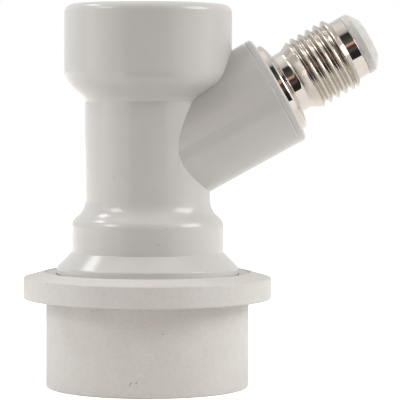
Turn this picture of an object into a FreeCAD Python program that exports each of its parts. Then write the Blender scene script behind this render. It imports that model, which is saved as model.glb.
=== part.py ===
"""Ball lock disconnect: a push-on coupling with a sliding locking collar and a threaded side arm.

Lengths are in millimetres and angles in degrees. The origin is on the body's axis, in the plane
that the collar stands on. +Z points up along that axis, and the side arm leans up towards +X.
"""
import FreeCAD
import Part
import math
import os

# Locking collar, outside
collar_height = 16.0
collar_top_rise = 0.82
collar_wall = 1.3
collar_sleeve_rounding = 0.35
collar_flange_width = 3.3
collar_flange_thickness = 3.1
collar_flange_rounding = 0.25
collar_mouth_chamfer = 1.65
collar_mouth_depth = 0.65

# Body, outside: lengths stacked upwards from the body's lower end
body_foot_gap = 0.5
body_foot_rounding = 0.3
guide_tube_radius = 11.4
guide_tube_length = 14.3
skirt_step = 1.85
skirt_height = 2.7
skirt_rounding = 0.4
skirt_rim_height = 0.8
skirt_undercut = 0.5
skirt_cone_height = 2.16
waist_radius = 11.1
waist_height = 4.26
waist_rounding = 1.35
shoulder_height = 2.13
shoulder_hollow_rounding = 2.9
neck_radius = 9.15
neck_height = 15.93
neck_top_rounding = 2.4
head_cone_height = 2.62
head_cone_rounding = 3.1
head_radius = 12.2
head_height = 11.1
head_top_rounding = 1.3

# Body, inside: the socket for the post, then the valve chamber above its web
mouth_chamfer = 0.6
bore_step = 1.1
bore_above_balls = 3.5
seal_bore_depth = 5.5
seal_bore_lead_in = 0.5
pin_pocket_step = 0.9
pin_pocket_depth = 3.0
web_thickness = 3.0
seat_hole_clearance = 0.7
chamber_radius = 5.5

# Locking balls and the cam inside the collar
ball_count = 6
ball_radius = 2.0
ball_proud = 0.35
ball_exit_clearance = 0.02
ball_pocket_clearance = 0.06
ball_reach_clearance = 0.05
collar_travel = 3.2
cam_clearance = 0.08
guide_clearance = 0.15
guide_land_length = 1.55
skirt_clearance = 0.2

# Split ring that keeps the collar on the body
ring_lip = 0.7
ring_stand_out = 1.95
ring_thickness = 1.0
ring_groove_depth = 0.8
ring_groove_clearance = 0.05
ring_step_gap = 0.1
ring_relief_clearance = 0.15
ring_split_width = 3.2

# Collar spring
collar_spring_wire = 0.9
collar_spring_turns = 3.0

# Both springs: the gap at one end, and the flats that the round wire is drawn with
spring_seat_gap = 0.02
wire_flats = 8

# Valve pin, its seal and its spring
pin_tip_gap = 0.2
pin_radius = 1.6
pin_tip_rounding = 0.5
pin_flange_clearance = 1.1
pin_flange_thickness = 1.4
pin_guide_radius = 1.8
pin_guide_length = 10.0
valve_seal_thickness = 1.1
valve_seal_inset = 0.2
valve_seal_bore_clearance = 0.05
valve_spring_wire = 0.6
valve_spring_radius = 3.2
valve_spring_turns = 9.0

# Screw cap and its gasket
cap_recess = 0.3
cap_disc_radius = 10.2
cap_disc_thickness = 2.0
cap_disc_rounding = 0.4
cap_disc_clearance = 0.2
cap_slot_width = 2.4
cap_slot_length = 15.0
cap_slot_depth = 1.5
cap_rim_width = 2.2
cap_plug_length = 6.5
cap_plug_clearance = 0.1
cap_plug_end_gap = 0.5
cap_hollow_clearance = 0.7
cap_hollow_depth = 3.0
gasket_thickness = 1.0
gasket_bore_clearance = 0.2

# Side arm of the body, measured along its own axis from the body's axis
arm_lean = 30.0
arm_rise = 6.45
arm_radius = 8.32
arm_length = 21.96
arm_end_rounding = 0.8
arm_lip_setback = 0.95
arm_lip_width = 0.3
arm_lip_height = 0.09
flow_bore_radius = 2.5

# Metal stem with the male flare thread
shank_radius = 5.45
shank_length = 6.6
shank_clearance = 0.05
shank_end_gap = 0.5
stem_flange_radius = 6.86
stem_flange_thickness = 2.36
stem_flange_rounding = 0.65
stem_flange_seat_depth = 0.86
stem_flange_clearance = 0.09
stem_neck_inset = 0.18
stem_neck_length = 2.04
thread_major_radius = 5.5
thread_depth = 0.7
thread_pitch = 1.27
thread_crest_width = 0.24
thread_length = 7.2
thread_lead_in = 1.5
thread_end_chamfer = 0.7
stem_end_inset = 0.13
stem_end_length = 2.0
stem_seal_groove_depth = 1.35
stem_seal_groove_width = 1.7
stem_seal_clearance = 0.02

# White seat washer in the end of the stem
washer_rim_inset = 0.02
washer_rim_length = 1.25
washer_nose_land = 1.05
washer_nose_length = 1.05
washer_spigot_wall = 1.1
washer_spigot_length = 4.0
washer_spigot_clearance = 0.05
washer_bore_radius = 2.0

# Socket and lock, worked inwards and outwards from the guide tube
seal_bore_radius = guide_tube_radius + ball_proud - 2.0 * ball_radius - ball_reach_clearance
lower_bore_radius = seal_bore_radius + bore_step
pin_pocket_radius = seal_bore_radius - pin_pocket_step
skirt_radius = guide_tube_radius + skirt_step
skirt_foot_radius = skirt_radius - skirt_undercut
ring_groove_radius = guide_tube_radius - ring_groove_depth
ring_outer_radius = guide_tube_radius + ring_stand_out
ball_travel = bore_step + ball_exit_clearance
ball_height = ring_lip + ring_thickness + ring_step_gap + collar_travel
lower_bore_depth = ball_height + bore_above_balls

# Valve and cap, each fitted to its neighbour
pin_reach = pin_pocket_depth - pin_tip_gap
seat_hole_radius = pin_radius + seat_hole_clearance
pin_flange_radius = chamber_radius - pin_flange_clearance
valve_seal_radius = pin_flange_radius - valve_seal_inset
cap_plug_radius = cap_disc_radius - cap_rim_width
cap_hollow_radius = valve_spring_radius + valve_spring_wire / 2.0 + cap_hollow_clearance

# Stem and seat washer, stepped from the thread, the shank and the washer's bore
thread_root_radius = thread_major_radius - thread_depth
stem_neck_radius = thread_root_radius - stem_neck_inset
stem_end_radius = thread_root_radius - stem_end_inset
stem_seal_groove_radius = shank_radius - stem_seal_groove_depth
washer_rim_radius = stem_end_radius - washer_rim_inset
washer_nose_radius = washer_bore_radius + washer_nose_land
washer_spigot_radius = washer_bore_radius + washer_spigot_wall

# Heights of the body's outside
tube_base_z = body_foot_gap
skirt_base_z = tube_base_z + guide_tube_length
skirt_top_z = skirt_base_z + skirt_height
skirt_rim_z = skirt_top_z - skirt_rim_height
waist_base_z = skirt_top_z + skirt_cone_height
waist_top_z = waist_base_z + waist_height
neck_base_z = waist_top_z + shoulder_height
neck_top_z = neck_base_z + neck_height
head_base_z = neck_top_z + head_cone_height
head_top_z = head_base_z + head_height

# Heights of the body's inside
lower_bore_top_z = tube_base_z + lower_bore_depth
seal_bore_top_z = lower_bore_top_z + seal_bore_depth
web_base_z = seal_bore_top_z + pin_pocket_depth
web_top_z = web_base_z + web_thickness
cap_top_z = head_top_z - cap_recess
cap_disc_base_z = cap_top_z - cap_disc_thickness
gasket_seat_z = cap_disc_base_z - gasket_thickness
plug_end_z = cap_disc_base_z - cap_plug_length
plug_bore_base_z = plug_end_z - cap_plug_end_gap

# Ball lock: the cam's slope makes the balls move out in step with the collar's lift
ball_z = tube_base_z + ball_height
ball_centre_radius = seal_bore_radius + ball_reach_clearance + ball_radius
ball_pocket_radius = ball_radius + ball_pocket_clearance
cam_slope = ball_travel / collar_travel
cam_radius_at_ball = ball_centre_radius + (ball_radius + cam_clearance) * math.hypot(1.0, cam_slope)
cam_base_z = ball_z - collar_travel
cam_base_radius = cam_radius_at_ball + cam_slope * collar_travel
guide_land_radius = guide_tube_radius + guide_clearance
cam_top_z = ball_z + (cam_radius_at_ball - guide_land_radius) / cam_slope
spring_ledge_z = cam_top_z + guide_land_length
collar_cavity_radius = skirt_radius + skirt_clearance
ring_top_z = cam_base_z - ring_step_gap
ring_base_z = ring_top_z - ring_thickness
ring_inner_radius = ring_groove_radius + ring_groove_clearance
collar_relief_radius = ring_outer_radius + ring_relief_clearance
collar_sleeve_radius = collar_relief_radius + collar_wall
collar_flange_radius = collar_sleeve_radius + collar_flange_width

# Valve
seal_top_z = web_top_z + valve_seal_thickness
pin_flange_top_z = seal_top_z + pin_flange_thickness
valve_spring_top_z = plug_end_z + cap_hollow_depth

# Places along the arm's axis
arm_axis_z = neck_base_z + arm_rise
flange_seat_s = arm_length - stem_flange_seat_depth
shank_end_s = flange_seat_s - shank_length
shank_socket_radius = shank_radius + shank_clearance
flange_face_s = flange_seat_s + stem_flange_thickness
thread_base_s = flange_face_s + stem_neck_length
thread_top_s = thread_base_s + thread_length
stem_end_s = thread_top_s + stem_end_length
washer_rim_s = stem_end_s + washer_rim_length
washer_tip_s = washer_rim_s + washer_nose_length
washer_socket_s = stem_end_s - washer_spigot_length - washer_spigot_clearance

TINY = 1e-6
CUT_OVERRUN = 1.0
FINEST_ARC = 0.6
X_AXIS = FreeCAD.Vector(1, 0, 0)
Y_AXIS = FreeCAD.Vector(0, 1, 0)
Z_AXIS = FreeCAD.Vector(0, 0, 1)
ORIGIN = FreeCAD.Vector(0, 0, 0)


def corner_arc(corner, to_last, to_next, rounding):
    """Start, middle and end of the arc that breaks one corner, kept within half of each side."""
    half_angle = to_last.getAngle(to_next) / 2.0
    longest_setback = min(to_last.Length, to_next.Length) / 2.0
    setback = min(rounding / math.tan(half_angle), longest_setback) if rounding else 0.0
    radius = setback * math.tan(half_angle)
    start = corner + FreeCAD.Vector(to_last).normalize() * setback
    end = corner + FreeCAD.Vector(to_next).normalize() * setback
    if setback < TINY:
        return start, corner, end
    inward = (start + end) * 0.5 - corner
    middle = corner + inward.normalize() * (radius / math.sin(half_angle) - radius)
    return start, middle, end


def corner_edge(start, middle, end, rounding):
    """Arc over a broken corner, or a plain bevel where the rounding is a fine one."""
    if rounding < FINEST_ARC:
        return Part.LineSegment(start, end).toShape()
    return Part.Arc(start, middle, end).toShape()


def profile_face(corners):
    """Flat face through (radius, height, rounding) corners, in the plane of +X and +Z."""
    points = [FreeCAD.Vector(radius, 0, height) for radius, height, _ in corners]
    arcs = []
    for index, (_, _, rounding) in enumerate(corners):
        here = points[index]
        following = points[(index + 1) % len(points)]
        arcs.append(corner_arc(here, points[index - 1] - here, following - here, rounding))
    edges = []
    for index, (start, middle, end) in enumerate(arcs):
        next_start = arcs[(index + 1) % len(arcs)][0]
        if start.distanceToPoint(end) > TINY:
            edges.append(corner_edge(start, middle, end, corners[index][2]))
        if end.distanceToPoint(next_start) > TINY:
            edges.append(Part.LineSegment(end, next_start).toShape())
    return Part.Face(Part.Wire(edges))


def turned(corners):
    """Solid turned about +Z from (radius, height, rounding) corners."""
    solid = profile_face(corners).revolve(ORIGIN, Z_AXIS, 360.0)
    if solid.Volume < 0:
        solid.reverse()
    return solid


def sharp(*points):
    """Corners with no rounding, from (radius, height) pairs."""
    return [(radius, height, 0.0) for radius, height in points]


def on_arm(shape):
    """A shape that was turned about +Z, laid along the arm's axis."""
    laid = shape.copy()
    laid.rotate(ORIGIN, Y_AXIS, 90.0 - arm_lean)
    laid.translate(FreeCAD.Vector(0, 0, arm_axis_z))
    return laid


def coil(mean_radius, wire, turns, base_z, top_z):
    """Helical spring of round wire, drawn with flats, whose ends touch base_z and top_z."""
    rise = top_z - base_z - wire
    path = Part.Wire(Part.makeHelix(rise / turns, rise, mean_radius))
    outline = []
    for index in range(wire_flats + 1):
        angle = (index + 0.5) * 2.0 * math.pi / wire_flats
        radius = mean_radius + wire / 2.0 * math.cos(angle)
        outline.append(FreeCAD.Vector(radius, 0, wire / 2.0 * math.sin(angle)))
    solid = path.makePipeShell([Part.makePolygon(outline)], True, True)
    solid.translate(FreeCAD.Vector(0, 0, base_z + wire / 2.0))
    return solid


def thread_crest_radius(s):
    """Crest radius at a place along the stem, lower in the lead-in and in the far chamfer."""
    lead_in_slope = (thread_major_radius - stem_neck_radius) / thread_lead_in
    chamfer_slope = (thread_major_radius - stem_end_radius) / thread_end_chamfer
    lead_in_limit = stem_neck_radius + (s - thread_base_s) * lead_in_slope
    chamfer_limit = stem_end_radius + (thread_top_s - s) * chamfer_slope
    return min(thread_major_radius, lead_in_limit, chamfer_limit)


def thread_corners():
    """Ridges of the flare thread, each with a narrow crest and 60 degree flanks."""
    half_crest = thread_crest_width / 2.0
    flank_slope = math.tan(math.radians(30.0))
    corners = []
    for turn in range(int(thread_length / thread_pitch)):
        crest_s = thread_base_s + (turn + 0.5) * thread_pitch
        crest_radius = thread_crest_radius(crest_s)
        half_base = half_crest + (crest_radius - thread_root_radius) * flank_slope
        corners += [
            (thread_root_radius, crest_s - half_base, 0.0),
            (crest_radius, crest_s - half_crest, 0.0),
            (crest_radius, crest_s + half_crest, 0.0),
            (thread_root_radius, crest_s + half_base, 0.0),
        ]
    return corners


def body_outside():
    """Turned tube, skirt, waist, neck and head, with the side arm let into them."""
    column = turned([
        (0.0, tube_base_z, 0.0),
        (guide_tube_radius, tube_base_z, body_foot_rounding),
        (guide_tube_radius, skirt_base_z, 0.0),
        (skirt_foot_radius, skirt_base_z, 0.0),
        (skirt_foot_radius, skirt_rim_z - skirt_undercut, 0.0),
        (skirt_radius, skirt_rim_z, 0.0),
        (skirt_radius, skirt_top_z, skirt_rounding),
        (waist_radius, waist_base_z, 0.0),
        (waist_radius, waist_top_z, waist_rounding),
        (neck_radius, neck_base_z, shoulder_hollow_rounding),
        (neck_radius, neck_top_z, neck_top_rounding),
        (head_radius, head_base_z, head_cone_rounding),
        (head_radius, head_top_z, head_top_rounding),
        (0.0, head_top_z, 0.0),
    ])
    lip_s = arm_length - arm_lip_setback
    arm = turned([
        (0.0, 0.0, 0.0),
        (arm_radius, 0.0, 0.0),
        (arm_radius, lip_s - arm_lip_width, 0.0),
        (arm_radius + arm_lip_height, lip_s - arm_lip_width / 2.0, 0.0),
        (arm_radius, lip_s, 0.0),
        (arm_radius, arm_length, arm_end_rounding),
        (0.0, arm_length, 0.0),
    ])
    return column.fuse(on_arm(arm))


def body_voids():
    """Socket, valve chamber, cap seat and the bores along the arm."""
    cap_seat_radius = cap_disc_radius + cap_disc_clearance
    plug_bore_radius = cap_plug_radius + cap_plug_clearance
    below = tube_base_z - CUT_OVERRUN
    above = head_top_z + CUT_OVERRUN
    shaft = turned(sharp(
        (0.0, below),
        (lower_bore_radius + mouth_chamfer, below),
        (lower_bore_radius + mouth_chamfer, tube_base_z),
        (lower_bore_radius, tube_base_z + mouth_chamfer),
        (lower_bore_radius, lower_bore_top_z - seal_bore_lead_in),
        (seal_bore_radius, lower_bore_top_z),
        (seal_bore_radius, seal_bore_top_z),
        (pin_pocket_radius, seal_bore_top_z),
        (pin_pocket_radius, web_base_z),
        (seat_hole_radius, web_base_z),
        (seat_hole_radius, web_top_z),
        (chamber_radius, web_top_z),
        (chamber_radius, plug_bore_base_z),
        (plug_bore_radius, plug_bore_base_z),
        (plug_bore_radius, gasket_seat_z),
        (cap_seat_radius, gasket_seat_z),
        (cap_seat_radius, above),
        (0.0, above),
    ))
    flange_seat_radius = stem_flange_radius + stem_flange_clearance
    socket_base_s = shank_end_s - shank_end_gap
    arm_bores = turned(sharp(
        (0.0, 0.0),
        (flow_bore_radius, 0.0),
        (flow_bore_radius, socket_base_s),
        (shank_socket_radius, socket_base_s),
        (shank_socket_radius, flange_seat_s),
        (flange_seat_radius, flange_seat_s),
        (flange_seat_radius, arm_length + CUT_OVERRUN),
        (0.0, arm_length + CUT_OVERRUN),
    ))
    return shaft.fuse(on_arm(arm_bores))


def ring_groove():
    """Groove round the guide tube for the split ring."""
    outer = guide_tube_radius + CUT_OVERRUN
    return turned(sharp(
        (ring_groove_radius, ring_base_z - ring_groove_clearance),
        (outer, ring_base_z - ring_groove_clearance),
        (outer, ring_top_z + ring_groove_clearance),
        (ring_groove_radius, ring_top_z + ring_groove_clearance),
    ))


def around_axis(shape, index):
    """One of the evenly spaced ball places, turned half a step away from the arm's plane."""
    placed = shape.copy()
    placed.rotate(ORIGIN, Z_AXIS, (index + 0.5) * 360.0 / ball_count)
    return placed


def ball_pocket():
    """Pocket through the tube wall that is too small inside for the ball to fall through."""
    centre = FreeCAD.Vector(ball_centre_radius, 0, ball_z)
    seat = Part.makeSphere(ball_pocket_radius, centre)
    way_out = Part.makeCylinder(ball_pocket_radius, ball_radius * 2.0, centre, X_AXIS)
    return seat.fuse(way_out)


def body():
    """Moulded body with its arm, sockets, ball pockets and ring groove."""
    cutters = [body_voids(), ring_groove()]
    cutters += [around_axis(ball_pocket(), index) for index in range(ball_count)]
    return body_outside().cut(cutters).removeSplitter()


def collar():
    """Flanged sleeve, its top rising to the mouth, with ball cam, guide land and spring cavity inside."""
    mouth_radius = collar_cavity_radius + collar_mouth_chamfer
    mouth_top_z = collar_height + collar_top_rise
    flange_base_z = collar_height - collar_flange_thickness
    return turned([
        (collar_relief_radius, 0.0, 0.0),
        (collar_sleeve_radius, 0.0, collar_sleeve_rounding),
        (collar_sleeve_radius, flange_base_z, 0.0),
        (collar_flange_radius, flange_base_z, collar_flange_rounding),
        (collar_flange_radius, collar_height, collar_flange_rounding),
        (mouth_radius, mouth_top_z, 0.0),
        (collar_cavity_radius, collar_height - collar_mouth_depth, 0.0),
        (collar_cavity_radius, spring_ledge_z, 0.0),
        (guide_land_radius, spring_ledge_z, 0.0),
        (guide_land_radius, cam_top_z, 0.0),
        (cam_base_radius, cam_base_z, 0.0),
        (collar_relief_radius, cam_base_z, 0.0),
    ])


def retaining_ring():
    """Flat spring ring with a split, turned away from the viewer's side."""
    ring = turned(sharp(
        (ring_inner_radius, ring_base_z),
        (ring_outer_radius, ring_base_z),
        (ring_outer_radius, ring_top_z),
        (ring_inner_radius, ring_top_z),
    ))
    split_corner = FreeCAD.Vector(-ring_split_width / 2.0, 0, ring_base_z - CUT_OVERRUN)
    split_depth = ring_outer_radius + CUT_OVERRUN
    split = Part.makeBox(ring_split_width, split_depth, ring_thickness + 2.0 * CUT_OVERRUN, split_corner)
    return ring.cut(split)


def lock_ball(index):
    """Steel locking ball at rest in its pocket."""
    return around_axis(Part.makeSphere(ball_radius, FreeCAD.Vector(ball_centre_radius, 0, ball_z)), index)


def collar_spring():
    """Spring between the collar's ledge and the body's skirt."""
    mean_radius = (guide_tube_radius + collar_cavity_radius) / 2.0
    base_z = spring_ledge_z + spring_seat_gap
    return coil(mean_radius, collar_spring_wire, collar_spring_turns, base_z, skirt_base_z)


def valve_pin():
    """Plunger that the post pushes up, with its sealing flange and its spring guide."""
    return turned([
        (0.0, web_base_z - pin_reach, 0.0),
        (pin_radius, web_base_z - pin_reach, pin_tip_rounding),
        (pin_radius, seal_top_z, 0.0),
        (pin_flange_radius, seal_top_z, 0.0),
        (pin_flange_radius, pin_flange_top_z, 0.0),
        (pin_guide_radius, pin_flange_top_z, 0.0),
        (pin_guide_radius, pin_flange_top_z + pin_guide_length, pin_tip_rounding),
        (0.0, pin_flange_top_z + pin_guide_length, 0.0),
    ])


def valve_seal():
    """Rubber washer under the pin's flange, resting on the body's web."""
    bore_radius = pin_radius + valve_seal_bore_clearance
    return turned(sharp(
        (bore_radius, web_top_z),
        (valve_seal_radius, web_top_z),
        (valve_seal_radius, seal_top_z),
        (bore_radius, seal_top_z),
    ))


def valve_spring():
    """Spring between the pin's flange and the hollow of the cap."""
    return coil(
        valve_spring_radius, valve_spring_wire, valve_spring_turns,
        pin_flange_top_z, valve_spring_top_z - spring_seat_gap,
    )


def cap():
    """Screw cap with a coin slot, and a hollow plug that holds the valve spring."""
    blank = turned([
        (0.0, cap_top_z, 0.0),
        (cap_disc_radius, cap_top_z, cap_disc_rounding),
        (cap_disc_radius, cap_disc_base_z, 0.0),
        (cap_plug_radius, cap_disc_base_z, 0.0),
        (cap_plug_radius, plug_end_z, cap_disc_rounding),
        (cap_hollow_radius, plug_end_z, 0.0),
        (cap_hollow_radius, valve_spring_top_z, 0.0),
        (0.0, valve_spring_top_z, 0.0),
    ])
    slot_corner = FreeCAD.Vector(-cap_slot_length / 2.0, -cap_slot_width / 2.0, cap_top_z - cap_slot_depth)
    slot = Part.makeBox(cap_slot_length, cap_slot_width, cap_slot_depth + CUT_OVERRUN, slot_corner)
    return blank.cut(slot)


def cap_gasket():
    """Flat rubber washer between the cap's disc and its seat in the head."""
    bore_radius = cap_plug_radius + gasket_bore_clearance
    return turned(sharp(
        (bore_radius, gasket_seat_z),
        (cap_disc_radius, gasket_seat_z),
        (cap_disc_radius, cap_disc_base_z),
        (bore_radius, cap_disc_base_z),
    ))


def flare_stem():
    """Turned metal stem: grooved shank, flange, neck, thread ridges and plain end."""
    groove_middle_s = (shank_end_s + flange_seat_s) / 2.0
    groove_low_s = groove_middle_s - stem_seal_groove_width / 2.0
    groove_high_s = groove_middle_s + stem_seal_groove_width / 2.0
    washer_socket_radius = washer_spigot_radius + washer_spigot_clearance
    corners = [
        (flow_bore_radius, shank_end_s, 0.0),
        (shank_radius, shank_end_s, 0.0),
        (shank_radius, groove_low_s, 0.0),
        (stem_seal_groove_radius, groove_low_s, 0.0),
        (stem_seal_groove_radius, groove_high_s, 0.0),
        (shank_radius, groove_high_s, 0.0),
        (shank_radius, flange_seat_s, 0.0),
        (stem_flange_radius, flange_seat_s, 0.0),
        (stem_flange_radius, flange_face_s, stem_flange_rounding),
        (stem_neck_radius, flange_face_s, 0.0),
        (stem_neck_radius, thread_base_s, 0.0),
    ]
    corners += thread_corners()
    corners += [
        (stem_end_radius, thread_top_s, 0.0),
        (stem_end_radius, stem_end_s, 0.0),
        (washer_socket_radius, stem_end_s, 0.0),
        (washer_socket_radius, washer_socket_s, 0.0),
        (flow_bore_radius, washer_socket_s, 0.0),
    ]
    return on_arm(turned(corners))


def stem_seal():
    """Rubber ring in the shank's groove."""
    wire_radius = (shank_socket_radius - stem_seal_groove_radius) / 2.0 - stem_seal_clearance
    mean_radius = (shank_socket_radius + stem_seal_groove_radius) / 2.0
    ring = Part.makeTorus(mean_radius, wire_radius, FreeCAD.Vector(0, 0, (shank_end_s + flange_seat_s) / 2.0))
    return on_arm(ring)


def seat_washer():
    """White plastic seat with a spigot that presses into the stem's end."""
    return on_arm(turned(sharp(
        (washer_bore_radius, stem_end_s - washer_spigot_length),
        (washer_spigot_radius, stem_end_s - washer_spigot_length),
        (washer_spigot_radius, stem_end_s),
        (washer_rim_radius, stem_end_s),
        (washer_rim_radius, washer_rim_s),
        (washer_nose_radius, washer_tip_s),
        (washer_bore_radius, washer_tip_s),
    )))


def pieces():
    """Every separate piece, by name."""
    named = {
        "body": body(),
        "collar": collar(),
        "collar_spring": collar_spring(),
        "retaining_ring": retaining_ring(),
        "valve_pin": valve_pin(),
        "valve_seal": valve_seal(),
        "valve_spring": valve_spring(),
        "cap": cap(),
        "cap_gasket": cap_gasket(),
        "flare_stem": flare_stem(),
        "stem_seal": stem_seal(),
        "seat_washer": seat_washer(),
    }
    for index in range(ball_count):
        named["lock_ball_" + str(index + 1)] = lock_ball(index)
    return named


os.makedirs("parts", exist_ok=True)
for name, solid in pieces().items():
    solid.exportStep(os.path.join("parts", name + ".step"))
    print(name, "solids", len(solid.Solids), "valid", solid.isValid(), "volume", round(solid.Volume, 2))
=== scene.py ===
"""Looks of the ball lock disconnect: its pieces as smooth meshes, their finishes, studio and camera.

Everything is in metres, in the frame of the solids: the body's axis is +Z, and the side arm leans up
towards +X. Each sub-assembly is a class that builds its pieces and hangs them on the frame's bodies.
"""

import logging
import math
from dataclasses import dataclass, field
from enum import Enum
from typing import Callable, Sequence

import bmesh
import bpy
from mathutils import Matrix, Vector, noise


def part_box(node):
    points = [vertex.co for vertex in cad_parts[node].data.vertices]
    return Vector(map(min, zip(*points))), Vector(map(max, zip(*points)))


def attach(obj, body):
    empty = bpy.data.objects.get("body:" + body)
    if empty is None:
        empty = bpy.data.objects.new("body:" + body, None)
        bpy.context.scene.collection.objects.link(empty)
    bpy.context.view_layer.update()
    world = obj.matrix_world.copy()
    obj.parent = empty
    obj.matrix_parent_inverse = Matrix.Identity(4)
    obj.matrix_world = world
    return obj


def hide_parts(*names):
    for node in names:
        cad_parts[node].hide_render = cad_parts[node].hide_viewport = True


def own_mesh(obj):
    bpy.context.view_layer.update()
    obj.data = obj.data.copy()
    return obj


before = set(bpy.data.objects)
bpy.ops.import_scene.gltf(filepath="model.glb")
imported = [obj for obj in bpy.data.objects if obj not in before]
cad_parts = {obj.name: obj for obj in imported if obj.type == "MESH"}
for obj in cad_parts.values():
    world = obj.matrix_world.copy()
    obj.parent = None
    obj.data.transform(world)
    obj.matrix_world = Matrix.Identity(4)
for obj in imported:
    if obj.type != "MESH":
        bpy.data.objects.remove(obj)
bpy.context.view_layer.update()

Colour = tuple[float, float, float, float]
Point = tuple[float, float, float]
Span = tuple[float, float]

MM = 0.001
FULL_TURN = 2.0 * math.pi
ARC_STEP = math.radians(7.5)
FINE_ARC_STEP = math.radians(3.5)
WIDE_ARC = 1.2 * MM
COARSE_ARC_STEP = math.radians(24.0)
SMALL_ARC = 0.16 * MM
EDGE_BREAK = 0.08 * MM
NEARLY_STRAIGHT = math.radians(89.5)
HOLD = 0.05 * MM
HOLD_ROOM = 6.0 * HOLD
CUT_OVER = 1.0 * MM
MERGE_DISTANCE = 1e-7
SHARP_ANGLE = math.radians(32.0)
BODY_NICKS = (
    ((2.66, -10.8, 23.62), (3.10, -10.7, 23.95), 0.09),
    ((-1.34, -10.95, 23.97), (-1.25, -10.95, 23.93), 0.09),
    ((-4.81, -7.8, 30.93), (-4.77, -7.8, 30.85), 0.09),
    ((1.39, -11.0, 21.36), (1.54, -11.0, 21.43), 0.08),
    ((0.86, -9.1, 29.08), (0.95, -9.1, 29.04), 0.07),
    ((8.30, -10.3, 17.50), (8.57, -10.1, 17.57), 0.09),
    ((5.97, -11.8, 17.43), (6.14, -11.7, 17.47), 0.07),
)
SLEEVE_NICKS = (
    ((-2.49, -14.6, 1.83), (-2.24, -14.6, 2.31), 0.13),
    ((-1.63, -14.7, 2.17), (-1.41, -14.7, 2.34), 0.12),
    ((2.05, -14.7, 9.07), (2.19, -14.6, 9.15), 0.13),
    ((-0.24, -15.5, 12.93), (-0.10, -15.5, 12.90), 0.12),
    ((-7.72, -12.6, 12.05), (-7.61, -12.7, 12.11), 0.11),
)

log = logging.getLogger("ball_lock_disconnect")


class Slot(Enum):
    """Names for the kinds of material of the pieces."""

    BODY = "body_plastic"
    COLLAR = "collar_plastic"
    STEM = "stem_metal"
    WASHER = "washer_plastic"
    BALL = "ball_steel"
    RING = "ring_steel"
    SPRING = "spring_steel"
    PIN = "pin_plastic"
    SEAL = "seal_rubber"


class Cut(Enum):
    """Ways in which one solid mesh changes another."""

    JOIN = "UNION"
    REMOVE = "DIFFERENCE"


@dataclass(frozen=True)
class Corner:
    """One corner of a turned outline, in the plane of the radius and the height."""

    radius: float
    height: float
    rounding: float = EDGE_BREAK

    @property
    def point(self) -> Vector:
        """The corner's place as (radius, height)."""
        return Vector((self.radius, self.height))


def rounded(before: Vector, corner: Corner, after: Vector) -> list[Vector]:
    """Points of the arc that breaks one corner.

    Args:
        before: the corner that comes before it.
        corner: the corner itself, with its rounding.
        after: the corner that comes after it.

    Returns:
        The arc's points, or the corner alone where it has no rounding.
    """
    to_last = before - corner.point
    to_next = after - corner.point
    half_angle = to_last.angle(to_next) / 2.0
    if corner.rounding <= 0.0 or half_angle > NEARLY_STRAIGHT:
        return [corner.point]
    longest = min(to_last.length, to_next.length) / 2.0
    setback = min(corner.rounding / math.tan(half_angle), longest)
    radius = setback * math.tan(half_angle)
    inward = (to_last.normalized() + to_next.normalized()).normalized()
    centre = corner.point + inward * radius / math.sin(half_angle)
    spoke = corner.point + to_last.normalized() * setback - centre
    sweep = math.pi - 2.0 * half_angle
    turn = -1.0 if to_last.x * to_next.y - to_last.y * to_next.x > 0.0 else 1.0
    step_angle = FINE_ARC_STEP if radius > WIDE_ARC else ARC_STEP
    if radius < SMALL_ARC:
        step_angle = COARSE_ARC_STEP
    steps = max(2, math.ceil(sweep / step_angle))
    points = []
    for step in range(steps + 1):
        angle = turn * sweep * step / steps
        cosine, sine = math.cos(angle), math.sin(angle)
        x = spoke.x * cosine - spoke.y * sine
        y = spoke.x * sine + spoke.y * cosine
        points.append(centre + Vector((x, y)))
    return points


def run_points(corners: Sequence[Corner], closed: bool) -> list[Vector]:
    """The points of a run of corners, with an arc at each rounded corner.

    Each straight stretch gets a point close to both its ends, so that it keeps its own shading.

    Args:
        corners: the corners in order.
        closed: whether the last corner is joined to the first; if not, both stay as they are.

    Returns:
        Points as (radius, height).
    """
    last = len(corners) - 1
    arcs = []
    for index, corner in enumerate(corners):
        if corner.radius <= 0.0 or (not closed and index in (0, last)):
            arcs.append([corner.point])
        else:
            after = corners[(index + 1) % len(corners)]
            arcs.append(rounded(corners[index - 1].point, corner, after.point))
    points: list[Vector] = []
    for index, arc in enumerate(arcs):
        points += arc
        if index < last or closed:
            start, end = arc[-1], arcs[(index + 1) % len(arcs)][0]
            stretch = end - start
            if stretch.length > HOLD_ROOM and max(start.x, end.x) > 0.0:
                step = stretch.normalized() * HOLD
                points += [start + step, end - step]
    return points


def skin(
    name: str, rows: Sequence[Sequence[Vector]], wrap_rows: bool = True, cap_ends: bool = False
) -> bpy.types.Object:
    """A closed mesh whose quads join the neighbouring points of a grid.

    Args:
        name: the new object's name.
        rows: equally long rows of points; points that coincide are merged.
        wrap_rows: whether the last row is joined to the first.
        cap_ends: whether the first and the last point of all rows are closed with a face each.

    Returns:
        The new object, smooth, with its sharp edges marked.
    """
    shape = bmesh.new()
    grid = [[shape.verts.new(point) for point in row] for row in rows]
    last_row = len(grid) if wrap_rows else len(grid) - 1
    for index in range(last_row):
        row, following = grid[index], grid[(index + 1) % len(grid)]
        for column in range(len(row) - 1):
            shape.faces.new((row[column], row[column + 1], following[column + 1], following[column]))
    if cap_ends:
        shape.faces.new([row[0] for row in grid])
        shape.faces.new([row[-1] for row in grid])
    bmesh.ops.remove_doubles(shape, verts=shape.verts, dist=MERGE_DISTANCE)
    bmesh.ops.recalc_face_normals(shape, faces=shape.faces)
    mesh = bpy.data.meshes.new(name)
    shape.to_mesh(mesh)
    shape.free()
    piece = bpy.data.objects.new(name, mesh)
    bpy.context.scene.collection.objects.link(piece)
    smooth(piece)
    return piece


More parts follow.
